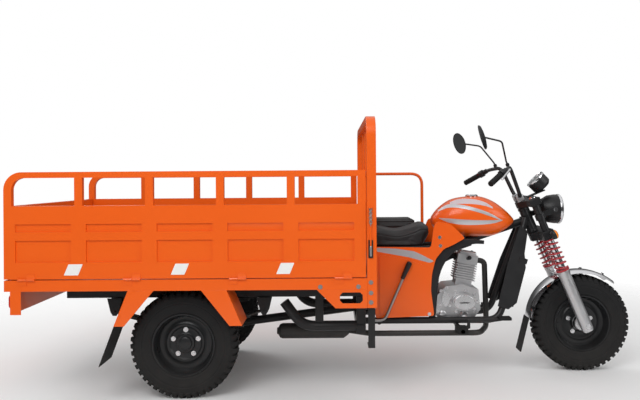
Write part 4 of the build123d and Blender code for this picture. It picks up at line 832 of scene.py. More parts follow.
def mirrored(parts):
    """The (mesh, finish) pairs and their copies on the other side of the vehicle."""
    copies = []
    for mesh, material in parts:
        other = mesh.copy()
        other.transform(Matrix.Scale(-1, 4, (0, 1, 0)))
        other.flip_normals()
        copies.append((other, material))
    return parts + copies


print("front axle at", [round(v) for v in FRONT_AXLE], "headboard at", round(HEADBOARD_X))

# %% [markdown]
# ## Sheet metal of the cargo bed
# The gates, headboard, sills and mudguards are folded sheet and box tube. Their CAD
# solids are right, so each gets a copy with merged corners and rounded edges, which is
# what makes painted sheet catch the light. The white reflector patches are as on the
# real bed, and so are the bolts and the gate latch on the headboard's posts.

# %% Gates, headboard, sills and mudguards
REFLECTORS = ((-1393, -1297), (-853, -760), (-320, -228))
REFLECTOR_Z = (661, 717)
REFLECTOR_LEAN = 24


def reflectors(side):
    """Slanted white patches on a side gate's outer face."""
    patches = []
    low, high = REFLECTOR_Z
    for x0, x1 in REFLECTORS:
        lean = REFLECTOR_LEAN
        face = [(x0, low), (x1 - lean, low), (x1, high), (x0 + lean, high)]
        patches.append((plate(rounded(face, 3), BED_Y - 0.5, BED_Y + 1.2, upright(side), 0.4), PEARL))
    return patches


for node, side in (("side_gate_right", -1), ("side_gate_left", 1)):
    piece(node + "_painted", BODY_OF[node], "body_paint",
          [(from_node(node, 2.2), ORANGE)] + reflectors(side), node)

SHEET_EDGES = {"tailgate": 2.2, "headboard": 3.0, "headboard_wall": 2.0, "headboard_bars": 2.5,
               "headboard_brackets": 1.2, "bed_sills": 1.2, "wheel_skirts": 1.2, "rear_panel": 1.2}
for node, edge in SHEET_EDGES.items():
    piece(node + "_painted", BODY_OF[node], "body_paint", [(from_node(node, edge), ORANGE)], node)

# %% [markdown]
# The latch is a black handle in a slot, with a hook and a short chain above it. A chain is
# one ring drawn many times, each turned a quarter against the last.

# %% Bolts and latches
POST_X = 158
BRACKET_BOLTS = ((-98, 594), (95, 594), (POST_X, 615), (POST_X, 562), (POST_X, 514))
LINKS, LINK_PITCH, CHAIN_TOP = 8, 11.0, 990.0


def chain_link(height, turned_over):
    """One oval link of a latch chain."""
    ring = [(6.5 + 2.0 * cos(tau * k / 8), 2.0 * sin(tau * k / 8)) for k in range(8)]
    across = (1, 0, 0) if turned_over else (0, 1, 0)
    stretch = Matrix.Scale(1.35, 4, (0, 0, 1))
    return turned(ring,
                  Matrix.Translation((POST_X, -BED_Y - 9, height)) @ stretch @ facing((0, 0, 0), across),
                  20)


heads = [((x, side * BED_Y, z), (0, side, 0)) for x, z in BRACKET_BOLTS for side in SIDES]
latch = [(slab((146, 170), (-BED_Y - 7, -BED_Y + 1), (738, 830), edge=3), PLASTIC)]
latch.append((slab((153, 163), (-BED_Y - 14, -BED_Y - 5), (748, 800), edge=2.5), ALLOY))
latch.append((tube([(POST_X, -BED_Y - 9, 796), (POST_X, -BED_Y - 9, CHAIN_TOP - LINKS * LINK_PITCH)], 4.0),
              ORANGE))
latch.append((slab((150, 166), (-BED_Y - 12, -BED_Y + 1), (CHAIN_TOP, CHAIN_TOP + 8), edge=1.5), ORANGE))
latch += [(chain_link(CHAIN_TOP - 5 - k * LINK_PITCH, k % 2), STEEL) for k in range(LINKS)]
piece("bed_bolts_and_latches", "chassis", "chrome", [(bolts(heads, 8.0, 4.0), STEEL)] + mirrored(latch))

# %% [markdown]
# The floor is chequer plate. A grid of points carries one raised lozenge each, and the
# lozenges of neighbouring points lie crosswise.

# %% Chequer plate
def chequer_tree():
    """Copies of a shape on a grid of points round a centre, every other one turned by a right angle."""
    sockets = [("Length", "Float"), ("Width", "Float"), ("Along", "Int"), ("Across", "Int"),
               ("Centre", "Vector"), ("Finish", "Material")]
    tree, start, end = repeat_tree("chequer_plate", sockets)
    grid = add(tree, "GeometryNodeMeshGrid")
    for label, socket in (("Length", "Size X"), ("Width", "Size Y"), ("Along", "Vertices X"),
                          ("Across", "Vertices Y")):
        tree.links.new(start.outputs[label], grid.inputs[socket])
    moved = add(tree, "GeometryNodeTransform")
    tree.links.new(grid.outputs["Mesh"], moved.inputs["Geometry"])
    tree.links.new(start.outputs["Centre"], moved.inputs["Translation"])
    odd = add(tree, "ShaderNodeMath", operation="MODULO")
    odd.inputs[1].default_value = 2
    tree.links.new(add(tree, "GeometryNodeInputIndex").outputs[0], odd.inputs[0])
    angle = add(tree, "ShaderNodeMath", operation="MULTIPLY_ADD")
    angle.inputs[1].default_value, angle.inputs[2].default_value = tau / 4, tau / 8
    tree.links.new(odd.outputs[0], angle.inputs[0])
    turn = add(tree, "ShaderNodeCombineXYZ")
    tree.links.new(angle.outputs[0], turn.inputs["Z"])
    copies = add(tree, "GeometryNodeInstanceOnPoints")
    tree.links.new(moved.outputs[0], copies.inputs["Points"])
    tree.links.new(start.outputs["Geometry"], copies.inputs["Instance"])
    tree.links.new(turn.outputs[0], copies.inputs["Rotation"])
    finish_tree(tree, start, end, copies.outputs[0])
    return tree


FLOOR_LOW, FLOOR_HIGH = (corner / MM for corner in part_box("bed_floor"))
lozenge = [(-19, 0), (-9, -4.5), (9, -4.5), (19, 0), (9, 4.5), (-9, 4.5)]
raised = loft([[Vector((x, y, -0.5)) for x, y in lozenge],
               [Vector((x * 0.85, y * 0.7, 1.6)) for x, y in lozenge]])
floor_middle = (FLOOR_LOW + FLOOR_HIGH) / 2
floor_middle.z = FLOOR_HIGH.z
lozenges = run_tree(chequer_tree(), raised, Length=FLOOR_HIGH.x - FLOOR_LOW.x - 60,
                    Width=FLOOR_HIGH.y - FLOOR_LOW.y - 60, Along=44, Across=29, Centre=floor_middle,
                    Finish=STEEL)
piece("bed_floor_chequered", "chassis", "floor_steel", [(from_node("bed_floor"), STEEL), (lozenges, STEEL)],
      "bed_floor")

# %% [markdown]
# ## Chassis and rear axle
# The tubes of the frame are drawn again as round tubes along the same lines, with smooth
# bends. The axle is one profile turned about its own line: spindles, drums, tube and the
# bulge of the differential.

# %% Frame tubes
HEAD_TUBE = [(15.3, HEAD_LOW), (30, HEAD_LOW), (30, HEAD_LOW + 12), (27, HEAD_LOW + 16), (27, HEAD_HIGH - 16),
             (30, HEAD_HIGH - 12), (30, HEAD_HIGH), (15.3, HEAD_HIGH)]
head_middle = STEER @ Vector((0, 0, (HEAD_LOW + HEAD_HIGH) / 2))
down_top = STEER @ Vector((-14, 0, HEAD_LOW + 92))
seat_leg = [(HEADBOARD_X + 90, -ARCH_Y, 735), (HEADBOARD_X + 60, -CRADLE_Y, CROSS_Z)]
cradle = [(CROSS_X + 20, -CRADLE_Y, CROSS_Z), (DOWN_TUBE_X, -CRADLE_Y, CROSS_Z),
          (down_top.x, -30, down_top.z)]
tubes = [
    tube(cradle, 19, 70),
    tube([(TIE_X, -ARCH_Y, 765), (ARCH_X + 37, -ARCH_Y, 700), (ARCH_X, -ARCH_Y, CROSS_Z)], 19, 90),
    tube([(ARCH_X, -ARCH_Y + 15, CROSS_Z), (ARCH_X, -CRADLE_Y, CROSS_Z)], 19),
    tube([(HEADBOARD_X, -ARCH_Y, 735), (ARCH_X + 130, -ARCH_Y, 735)], 15),
    tube(seat_leg, 15),
    slab((CROSS_X - 25, CROSS_X + 25), (-360, -320), (CROSS_Z, 500), edge=3),
]
frame_parts = mirrored([(mesh, BLACK) for mesh in tubes])
frame_parts.append((turned(HEAD_TUBE, STEER, 48), BLACK))
frame_parts.append((tube([head_middle, (TIE_X, 0, 768)], 23), BLACK))
frame_parts.append((tube([(TIE_X, -ARCH_Y, 765), (TIE_X, ARCH_Y, 765)], 15), BLACK))
frame_parts.append((slab((CROSS_X - 25, CROSS_X + 25), (-368, 368), (CROSS_Z - 25, CROSS_Z + 25), edge=3),
                    BLACK))
piece("front_frame_tubes", "chassis", "chassis_paint", frame_parts, "front_frame")

sweep_x = REAR_AXLE.x + 490
lower = [(sweep_x + 22, -340, 470), (sweep_x + 120, -340, 337), (CROSS_X - 25, -340, 337)]
lower_parts = [(tube(lower, 28, 70), BLACK),
               (slab((CROSS_X - 250, CROSS_X - 205), (-355, -325), (337, 500), edge=3), BLACK)]
piece("lower_rails_tubes", "chassis", "chassis_paint", mirrored(lower_parts), "lower_rails")

# %% [markdown]
# The clamps that hold the axle to its leaf springs are bent rods with nuts below.

# %% Rear axle, drive shaft and spring clamps
HALF_AXLE = [(22, 472), (22, 428), (94, 428), (100, 422), (100, 392), (94, 384), (62, 380), (38, 378),
             (38, 128), (46, 104), (64, 92), (96, 54), (105, 36), (105, 0)]
AXLE_NOSE = [(0, 0), (70, 0), (62, 70), (50, 104), (45, 112), (45, 138), (52, 140), (52, 149.5), (0, 149.5)]
SHAFT_ENDS = (Vector((REAR_AXLE.x + 150, 0, 280)), Vector((FRONT_AXLE.x - 880, 0, 432)))
half = [(r, -h) for r, h in HALF_AXLE]
axle_profile = [(0, -472)] + half + [(r, -h) for r, h in reversed(half[:-1])] + [(0, 472)]
axle_parts = [(turned(axle_profile, facing(REAR_AXLE, (0, 1, 0)), 64), BLACK)]
axle_parts.append((turned(AXLE_NOSE, facing(REAR_AXLE, (1, 0, 0)), 40), BLACK))
clamps = [(slab((REAR_AXLE.x - 45, REAR_AXLE.x + 45), (-370, -310), (280, 325), edge=2), BLACK)]
for x in (REAR_AXLE.x - 37, REAR_AXLE.x + 37):
    over = [(x, -377, 240), (x, -377, 366), (x, -303, 366), (x, -303, 240)]
    clamps.append((tube(over, 6, 14, 12), STEEL))
clamps.append((slab((REAR_AXLE.x - 48, REAR_AXLE.x + 48), (-386, -294), (233, 241), edge=2), BLACK))
under = [((x, y, 233), (0, 0, -1)) for x in (REAR_AXLE.x - 37, REAR_AXLE.x + 37)
         for y in (-377, -303, 303, 377)]
axle_parts += mirrored(clamps) + [(bolts(under, 8.0, 6.0), MACHINED)]
piece("rear_axle_turned", "chassis", "chassis_paint", axle_parts, "rear_axle")

rear_end, front_end = SHAFT_ENDS
lean = (front_end - rear_end).normalized()
SHAFT = [(0, 20), (24, 20), (24, 60), (30, 66), (30, 90), (24, 96)]
length = (front_end - rear_end).length
shaft_profile = SHAFT + [(r, length - h) for r, h in reversed(SHAFT)]
joint = [(0, 0.4), (34, 0.4), (36, 6), (30, 20), (26, 44), (0, 46)]
shaft_parts = [(turned(shaft_profile, facing(rear_end, lean), 40), BLACK),
               (turned(joint, facing(rear_end, (1, 0, 0)), 32), BLACK),
               (turned(joint, facing(front_end, (-1, 0, 0)), 32), BLACK)]
piece("drive_shaft_turned", "chassis", "chassis_paint", shaft_parts, "drive_shaft")

# %% [markdown]
# ## Engine, exhaust and radiator
# The engine is left open to view, so it gets its covers, bolts and fins. The cast case is
# the CAD solid with wide rounded edges.

# %% Engine
COVER_FACE = 136.0
ENGINE_LOW = 304.0


def oval(x, z, wide, tall, steps=40):
    """Outline of an oval in the side view."""
    return [(x + wide * cos(tau * k / steps), z + tall * sin(tau * k / steps)) for k in range(steps)]


def right_disc(x, z, profile):
    """Turned cap on the engine's right side; heights are outwards from the case's side."""
    return turned(profile, facing((x, -100, z), (0, -1, 0)), 40)


clutch = (ENGINE_X + 30, ENGINE_LOW + 116)
engine_parts = [(from_node("engine_case", 5.0), ALLOY)]
engine_parts.append((plate(oval(*clutch, 60, 43), COVER_FACE - 2, COVER_FACE + 5, upright(-1), 3), MACHINED))
engine_parts.append((plate(oval(*clutch, 34, 3.5), COVER_FACE + 3, COVER_FACE + 5.6, upright(-1), 0.3),
                     BLACK))
engine_parts.append((plate(oval(ENGINE_X - 74, ENGINE_LOW + 136, 21, 44), 98, 122, upright(-1), 6), MACHINED))
engine_parts.append((right_disc(ENGINE_X + 34, ENGINE_LOW + 40,
                                [(0, -2), (24, -2), (24, 10), (20, 14), (14, 14), (12, 6), (0, 6)]), ALLOY))
engine_parts.append((right_disc(ENGINE_X - 92, ENGINE_LOW + 48,
                                [(0, -2), (20, -2), (20, 16), (16, 20), (0, 20)]), ALLOY))
rim_bolts = []
for k in range(9):
    angle = tau * k / 9
    rim_bolts.append(((clutch[0] + 84 * cos(angle), -100, clutch[1] + 66 * sin(angle)), (0, -1, 0)))
for dx, dz in ((-104, 100), (-112, 62), (-100, 180), (-64, 200), (96, 150)):
    rim_bolts.append(((ENGINE_X + dx, -100, ENGINE_LOW + dz), (0, -1, 0)))
engine_parts.append((bolts(rim_bolts, 6.5, 4.0), MACHINED))
generator = [(0, 30), (58, 34), (52, 38), (0, 38)]
engine_parts.append((turned(generator, facing((ENGINE_X + 20, 100, ENGINE_LOW + 112), (0, 1, 0)), 48),
                     MACHINED))
piece("engine_case_cast", "chassis", "cast_aluminium", engine_parts, "engine_case")

barrel = Matrix.Translation((ENGINE_X + 40, 0, 518)) @ Matrix.Rotation(radians(10), 4, "Y")
top_parts = [(from_node("engine_cylinder", 1.2), ALLOY)]
top_parts.append((slab((-50, 50), (-48, 48), (168, 190), barrel, 8), ALLOY))
caps = [(barrel @ Vector((x, y, 190)), barrel.to_3x3() @ Vector((0, 0, 1))) for x in (-38, 38)
        for y in (-36, 36)]
top_parts.append((bolts(caps, 6.0, 4.0), MACHINED))
plug = facing(barrel @ Vector((0, -58, 150)), (0.2, -1, 0.25))
top_parts.append((turned([(0, -4), (9, -4), (9, 12), (12, 14), (12, 30), (8, 38), (0, 38)], plug, 24),
                  PLASTIC))
intake = [barrel @ Vector((-56, 0, 146)), barrel @ Vector((-84, 0, 150)), Vector((ENGINE_X - 74, 0, 652))]
top_parts.append((tube(intake, 19, 20), TRIM_RUBBER))
carburettor = [(0, 0), (24, 0), (24, 10), (20, 14), (20, 44), (26, 48), (26, 56), (0, 56)]
top_parts.append((turned(carburettor, facing(intake[-1], (-1, 0, 0.05)), 32), ALLOY))
bowl = [(0, 0), (17, 0), (19, 8), (19, 46), (0, 46)]
top_parts.append((turned(bowl, facing(intake[-1] + Vector((-28, 0, 0)), (0, 0, -1)), 32), ALLOY))
piece("engine_cylinder_cast", "chassis", "cast_aluminium", top_parts, "engine_cylinder")

# %% [markdown]
# The exhaust leaves the cylinder at the front and runs back below the frame. The radiator's
# core is one thin bar repeated in a row.

# %% Exhaust, radiator and arch trim
EXHAUST_Z, EXHAUST_Y = 256.0, -176.0
port, bend = barrel @ Vector((60.3, 0, 145)), barrel @ Vector((112, 0, 145))
header = [port, bend, (ENGINE_X + 185, 0, EXHAUST_Z), (ENGINE_X + 110, EXHAUST_Y, EXHAUST_Z),
          (CROSS_X + 60, EXHAUST_Y, EXHAUST_Z), (CROSS_X - 60, -90, EXHAUST_Z)]
silencer = [(0, 0), (17, 0), (26, 8), (44, 34), (44, 388), (38, 404), (20, 414), (18, 421), (0, 421)]
piece("exhaust_pipe", "chassis", "exhaust_steel",
      [(tube(header, 16, 48), EXHAUST_BLACK),
       (turned(silencer, facing((CROSS_X - 58, -90, EXHAUST_Z), (-1, 0, 0)), 40), EXHAUST_BLACK)], "exhaust")

down_line = Vector((down_top.x - DOWN_TUBE_X, 0, down_top.z - CROSS_Z)).normalized()
core = Matrix.Translation((DOWN_TUBE_X, 0, CROSS_Z)) @ Matrix(
    ((down_line.z, 0, down_line.x, 0), (0, 1, 0, 0), (-down_line.x, 0, down_line.z, 0), (0, 0, 0, 1)))
CORE_FRONT, CORE_RISE, CORE_HEIGHT, CORE_TUBES = 58.2, 120.0, 230.0, 24
fin = slab((CORE_FRONT - 1, CORE_FRONT + 1.5), (-98, 98), (CORE_RISE + 2, CORE_RISE + 6), core, 0)
fins = run_tree(ROW, fin, Copies=CORE_TUBES, Step=core.to_3x3() @ Vector((0, 0, CORE_HEIGHT / CORE_TUBES)),
                Finish=STEEL)
piece("radiator_finned", "chassis", "black_plastic", [(from_node("radiator", 1.2), PLASTIC), (fins, STEEL)],
      "radiator")

ARCH_LINE = ((541, 372), (541, 470), (547, 560), (572, 648), (622, 716), (692, 757), (762, 775), (836, 768))
ARCH_WIDTH = (14, 20, 26, 29, 27, 23, 19, 10)
band = rounded([(x, 0, z) for x, z in ARCH_LINE], 40, 4, closed=False)
rings = []
for i, point in enumerate(band):
    before, after = band[max(i - 1, 0)], band[min(i + 1, len(band) - 1)]
    out = Vector((-(after - before).z, 0, (after - before).x)).normalized()
    spot = i / (len(band) - 1) * (len(ARCH_WIDTH) - 1)
    k = min(int(spot), len(ARCH_WIDTH) - 2)
    wide = ARCH_WIDTH[k] + (ARCH_WIDTH[k + 1] - ARCH_WIDTH[k]) * (spot - k)
    ring = [(-1, -136), (-1, -146), (-0.8, -150), (0.75, -150), (1, -146), (1, -136)]
    rings.append([point + out * wide * share + Vector((0, y, 0)) for share, y in ring])
piece("arch_trim", "chassis", "black_plastic", mirrored([(loft(rings), PLASTIC)]))

# %% [markdown]
# ## Fork and front mudguard
# Everything from here to the mirrors steers with the fork, so it is drawn along the
# steering axis, for the right side only, and then copied to the left.

# %% Fork legs, springs and yokes
SLIDER = [(0, -36), (20, -36), (30, -31), (34, -18), (34, 322), (36.5, 326), (36.5, 344), (34, 347), (0, 347)]
STANCHION = [(0, 347.2), (21, 347.2), (21, 590), (0, 590)]
UPPER_TUBE = [(0, 590), (21, 590), (21, 803), (0, 803)]
SPRING_LOW, SPRING_HIGH, SPRING_TURNS = 347.3, 548.0, 6.0
right_leg = leg_frame(-1)
leg_parts = [(turned(SLIDER, right_leg, 40), ALLOY), (turned(STANCHION, right_leg, 32), CHROME),
             (turned(UPPER_TUBE, right_leg, 32), BLACK),
             (slab((-8, 8), (-37, -31), (24, 300), right_leg, 2.5), ALLOY),
             (turned([(0, -40), (14, -40), (14, -33), (0, -33)],
                     facing(STEER @ Vector((FORK_OFFSET, -FORK_Y, 0)), (0, 1, 0)), 6), MACHINED)]
piece("fork_legs_turned", "fork", SLOT_OF["fork_legs"], mirrored(leg_parts), "fork_legs")

coil = run_tree(COIL, bpy.data.meshes.new("empty"), Turns=SPRING_TURNS, Radius=34.3, Wire=4.7,
                Height=SPRING_HIGH - SPRING_LOW - 22, Finish=SPRING_RED)
coil.transform(right_leg @ Matrix.Translation((0, 0, SPRING_LOW + 12)))
seats = [turned([(22, SPRING_LOW), (38.5, SPRING_LOW), (39, SPRING_LOW + 3), (39, SPRING_LOW + 9),
                 (22, SPRING_LOW + 9)], right_leg, 40),
         turned([(22, SPRING_HIGH - 9), (39, SPRING_HIGH - 9), (39, SPRING_HIGH - 2),
                 (22, SPRING_HIGH - 2)], right_leg, 40)]
piece("fork_springs_wound", "fork", "red_paint", mirrored([(mesh, SPRING_RED) for mesh in [coil] + seats]),
      "fork_springs")
yoke_bolts = [(STEER @ Vector((FORK_OFFSET, side * FORK_Y, 803)), UPWARD) for side in SIDES]
piece("fork_yokes_forged", "fork", SLOT_OF["fork_yokes"],
      [(from_node("fork_yokes", 4.0), BLACK), (bolts(yoke_bolts, 15.0, 7.0), CHROME)], "fork_yokes")

# %% [markdown]
# The mudguard is one curved section swept round the wheel's axle.

# %% Front mudguard
GUARD_RADIUS, GUARD_HALF, GUARD_LIP = 313.0, 75.0, 16.0
GUARD_START, GUARD_END, GUARD_STEPS = 52.0, 174.0, 60


def guard_section(steps=14):
    """Half-round top with a rolled lip at each side, as (radius, across) pairs."""
    across = [2 * step / steps - 1 for step in range(steps + 1)]
    outer = [(GUARD_RADIUS - GUARD_LIP * abs(u) ** 3, GUARD_HALF * u) for u in across]
    inner = [(r - 3.0, y * 0.965) for r, y in reversed(outer)]
    return outer + inner


rings = []
for step in range(GUARD_STEPS + 1):
    angle = radians(GUARD_START + (GUARD_END - GUARD_START) * step / GUARD_STEPS)
    rings.append([FRONT_AXLE + Vector((r * cos(angle), y, r * sin(angle))) for r, y in guard_section()])
guard_parts = [(loft(rings), CHROME)]
guard_parts.append((slab((FORK_OFFSET - 20, FORK_OFFSET + 20), (-87.7, 87.7), (311, 321), STEER, 3), CHROME))
studs = []
for turn in (88.0, 63.0):
    angle = radians(turn)
    out = Vector((cos(angle), 0, sin(angle)))
    studs.append((FRONT_AXLE + out * (GUARD_RADIUS - 0.5), out))
guard_parts.append((bolts(studs, 9.0, 9.0), CHROME))
piece("front_fender_chromed", "fork", SLOT_OF["front_fender"], guard_parts, "front_fender")

# %% [markdown]
# ## Lamps, gauge and handlebar
# The headlamp is a black shell with a chrome rim, a bright reflector and a clear glass.

# %% Headlamp and signals
lamp = facing(STEER @ Vector((150, 0, 683)), (1, 0, 0))
SHELL = [(0, -70), (26, -70), (60, -54), (80, -20), (86, 20), (86, 44), (82, 44), (82, 22), (56, -40),
         (0, -52)]
RIM = [(80, 40), (86.5, 38), (88, 42), (88, 50), (84, 54), (79, 53), (78, 47)]
REFLECTOR = [(0, -30), (30, -22), (56, 0), (74, 30), (78, 45), (77, 45), (72, 31), (54, 2), (29, -20),
             (0, -28)]
LENS = [(0, 64), (30, 62.5), (58, 56), (77, 48.5), (77, 45.5), (57, 53), (30, 59.5), (0, 61)]
lamp_parts = [(turned(SHELL, lamp, 64), BLACK), (turned(RIM, lamp, 72), CHROME),
              (turned(REFLECTOR, lamp, 64), CHROME)]
lamp_parts.append((turned([(0, -26), (11, -26), (13, -8), (9, 6), (0, 9)], lamp, 24), WHITE))
arm = [(slab((FORK_OFFSET, 158), (-102, -96), (668, 700), STEER, 2), BLACK),
       (turned([(21.3, 668), (28, 668), (28, 700), (21.3, 700)], right_leg, 32), BLACK),
       (slab((FORK_OFFSET - 8, FORK_OFFSET + 8), (-FORK_Y + 20, -96), (670, 698), STEER, 2), BLACK)]
lamp_parts += mirrored(arm)
knobs = [(STEER @ Vector((150, side * 102, 684)), (0, side, 0)) for side in SIDES]
lamp_parts.append((bolts(knobs, 10.0, 6.0), CHROME))
piece("headlamp_shell", "fork", SLOT_OF["headlamp"], lamp_parts, "headlamp")
piece("headlamp_glass", "fork", SLOT_OF["headlamp_lens"], [(turned(LENS, lamp, 64), GLASS)], "headlamp_lens")

stalk_x, signal_y, signal_z = FORK_OFFSET + 10, FORK_Y + 78, 572
signal = facing(STEER @ Vector((stalk_x + 3, -signal_y, signal_z)), AHEAD)
signal_parts = [(tube(steered((stalk_x, -FORK_Y - 34, signal_z), (stalk_x, -signal_y, signal_z)), 7),
                 PLASTIC), (turned([(0, -20), (16, -20), (26, -8), (27, 6), (0, 6)], signal, 32), PLASTIC),
                (turned([(0, 6), (26.5, 6), (25, 14), (16, 20), (0, 22)], signal, 32), AMBER)]
piece("turn_signals_lensed", "fork", SLOT_OF["turn_signals"], mirrored(signal_parts), "turn_signals")

# %% [markdown]
# The gauge is a cup with a dial, ticks, a needle and a clear glass in a chrome ring.

# %% Gauge
dial = STEER @ Matrix.Translation((148, 0, 852)) @ Matrix.Rotation(radians(-22), 4, "Y")
CUP = [(0, -37), (44, -37), (56, -26), (58, -18), (58, 30), (53, 30), (53, 20), (0, 20)]
RING = [(52, 28), (58.5, 26), (60, 30), (59, 36), (55, 37), (51, 34)]
gauge_parts = [(turned(CUP, dial, 48), PLASTIC), (turned(RING, dial, 56), CHROME),
               (turned([(0, 20), (52, 20), (52, 21), (0, 21)], dial, 48), DIAL),
               (turned([(0, 31), (51.5, 31), (51.5, 33), (0, 33)], dial, 48), GLASS)]
for k in range(19):
    turn = Matrix.Rotation(radians(-130 + 260 * k / 18 + 180), 4, "Z")
    inner = 38 if k % 2 == 0 else 43
    gauge_parts.append((slab((inner, 48), (-0.8, 0.8), (20.8, 21.4), dial @ turn, 0), WHITE))
gauge_parts.append((slab((-8, 36), (-1.2, 1.2), (22.5, 23.7), dial @ Matrix.Rotation(radians(60), 4, "Z"),
                         0.3), SPRING_RED))
gauge_parts.append((turned([(0, 21), (6, 21), (6, 25), (0, 25)], dial, 20), PLASTIC))
gauge_parts.append((slab((FORK_OFFSET + 10, 160), (-25, 25), (YOKE_TOP + 0.3, YOKE_TOP + 8), STEER, 2),
                    BLACK))
piece("gauge_face", "fork", SLOT_OF["gauge"], gauge_parts, "gauge")

# %% [markdown]
# The bar is one tube bent through its corner points. Grips, levers and mirrors take their
# places from the same points.

# %% Handlebar, grips, levers and mirrors
BAR_Z, GRIP_SHARE = 822.0, 0.42
BAR_POINTS = [(0, -62, BAR_Z), (0, -105, 1014), (-52, -230, 1021), (-189, -350, 993)]
bend, outer, tip = (Vector(point) for point in BAR_POINTS[1:])


def along_bar(share):
    """Point on the straight outer run of the bar, right side, along the steering axis."""
    return outer + (tip - outer) * share


run = (tip - outer).normalized()
right_half = [along_bar(GRIP_SHARE)] + [Vector(point) for point in reversed(BAR_POINTS[:3])]
left_half = [Vector((p.x, -p.y, p.z)) for p in reversed(right_half)]
bar_parts = [(tube(steered(*right_half, *left_half), 11, 45), BLACK)]
switch = facing(along_bar(0.2), run)
house = (along_bar(0.38) - along_bar(0.2)).length
switch_profile = [(0, 0), (18, 0), (22, 3), (22, house - 3), (19, house), (0, house)]
perch = along_bar(0.15)
controls = [(slab((-20, 20), (-52, -26), (YOKE_TOP, BAR_Z + 17), STEER, 4), ALLOY),
            (turned(switch_profile, STEER @ switch, 32), PLASTIC),
            (turned([(0, -16), (15, -16), (15, 16), (0, 16)], STEER @ facing(perch, run), 28), PLASTIC),
            (tube(steered(perch, perch + Vector((34, 0, 0))), 9), PLASTIC),
            (turned([(0, 0), (6, 0), (6, 5), (0, 6)],
                    STEER @ facing(along_bar(0.29) + Vector((-20, 0, 4)), (-1, 0, 0.2)), 20), SPRING_RED)]
bar_parts += mirrored(controls)
piece("handlebar_tube", "fork", SLOT_OF["handlebar"], bar_parts, "handlebar")

grip_start, grip_end = along_bar(GRIP_SHARE) + run * 0.3, along_bar(1.04)
grip_length = (grip_end - grip_start).length
grip_profile = [(0, 0), (17, 0), (17, 6), (15.5, 8)]
for k in range(9):
    step = 12 + k * (grip_length - 24) / 9
    grip_profile += [(15.4, step), (16.8, step + 2), (16.8, step + 5), (15.4, step + 7)]
grip_profile += [(15.5, grip_length - 8), (17, grip_length - 5), (15, grip_length), (0, grip_length)]
piece("hand_grips_ribbed", "fork", SLOT_OF["hand_grips"],
      mirrored([(turned(grip_profile, STEER @ facing(grip_start, run), 28), TRIM_RUBBER)]), "hand_grips")

root = perch + Vector((25, -9.3, 0))
lever_tip = along_bar(1.0) + Vector((62, -14, 0))
blade = rounded([root, root + Vector((0, -24, 0)), lever_tip], 20, 8, closed=False)
sizes_along = [5.5 + 1.8 * sin(tau / 2 * k / (len(blade) - 1)) for k in range(len(blade))]
lever_parts = [(swept(steered(*blade), sizes_along, 14), ALLOY)]
lever_parts.append((turned([(0, -7), (4, -6), (7, 0), (4, 6), (0, 7)],
                           STEER @ Matrix.Translation(lever_tip), 20), ALLOY))
piece("hand_levers_bladed", "fork", SLOT_OF["hand_levers"], mirrored(lever_parts), "hand_levers")

foot = bend + (outer - bend) * 0.35 + Vector((0, 0, 11.6))
stem = [foot, foot + Vector((0, 0, 26)), foot + Vector((-10, -130, 150)), foot + Vector((-110, -190, 215))]
glass = STEER @ facing(stem[-1], (-1, 0.35, 0.1))
MIRROR_SHELL = [(0, -8), (40, -7), (62, -3), (69, 3), (69, 8), (66, 8), (66, 5), (0, 5)]
mirror_parts = [(tube(steered(*stem), 5, 22, 14), PLASTIC), (turned(MIRROR_SHELL, glass, 56), PLASTIC),
                (turned([(0, 5), (65.6, 5), (65.6, 7), (0, 7)], glass, 56), MIRROR),
                (turned([(0, 0), (11, 0), (11, 14), (7, 18), (0, 18)], STEER @ Matrix.Translation(foot), 6),
                 PLASTIC)]
piece("mirrors_round", "fork", SLOT_OF["mirrors"], mirrored(mirror_parts), "mirrors")

# %% [markdown]
# ## Fuel tank
# The CAD tank is skinned straight between ten sections. Here the same sections guide a
# smooth curve, so that highlights run along it without kinks. The silver stripes are thin
# decals, and the pale band along the top is a painted reflection made the same way: each
# point of a strip is dropped sideways onto the tank, and the next ring of points lies just
# under the paint.

# %% Tank with its stripes and painted top reflection
TANK_LENGTH, TANK_BOTTOM = 470.0, 792.0
TANK_REAR = FRONT_AXLE.x - 398 - TANK_LENGTH
TANK_SECTIONS = ((0.00, 62, 66, 124), (0.04, 84, 34, 150), (0.12, 106, 10, 186), (0.24, 126, 0, 220),
                 (0.42, 138, 0, 236), (0.60, 138, 0, 236), (0.76, 126, 6, 208), (0.90, 98, 38, 160),
                 (0.97, 70, 62, 128), (1.00, 52, 76, 112))


def smooth_row(rows, t):
    """Values between rows of (place, values...), by a curve that runs through every row."""
    i = max(k for k in range(len(rows) - 1) if rows[k][0] <= t)
    (t0, *a), (t1, *b) = rows[i], rows[i + 1]
    before, after = rows[max(i - 1, 0)], rows[min(i + 2, len(rows) - 1)]
    u, span = (t - t0) / (t1 - t0), t1 - t0
    values = []
    for k in range(len(a)):
        slope0 = (b[k] - before[k + 1]) / (t1 - before[0]) * span
        slope1 = (after[k + 1] - a[k]) / (after[0] - t0) * span
        values.append((2 * u**3 - 3 * u**2 + 1) * a[k] + (u**3 - 2 * u**2 + u) * slope0
                      + (3 * u**2 - 2 * u**3) * b[k] + (u**3 - u**2) * slope1)
    return values


def tank_ring(share, shrink=1.0, push=0.0, count=72):
    """Ring of points round the tank at a share of its length."""
    wide, low, high = smooth_row(TANK_SECTIONS, share)
    middle, tall = TANK_BOTTOM + (low + high) / 2, (high - low) / 2
    ring = []
    for k in range(count):
        c, s = cos(tau * k / count), sin(tau * k / count)
        y = wide * shrink * abs(c) ** 0.86 * (1 if c >= 0 else -1)
        z = middle + tall * shrink * abs(s) ** 0.86 * (1 if s >= 0 else -1)
        ring.append(Vector((TANK_REAR + TANK_LENGTH * share + push, y, z)))
    return ring


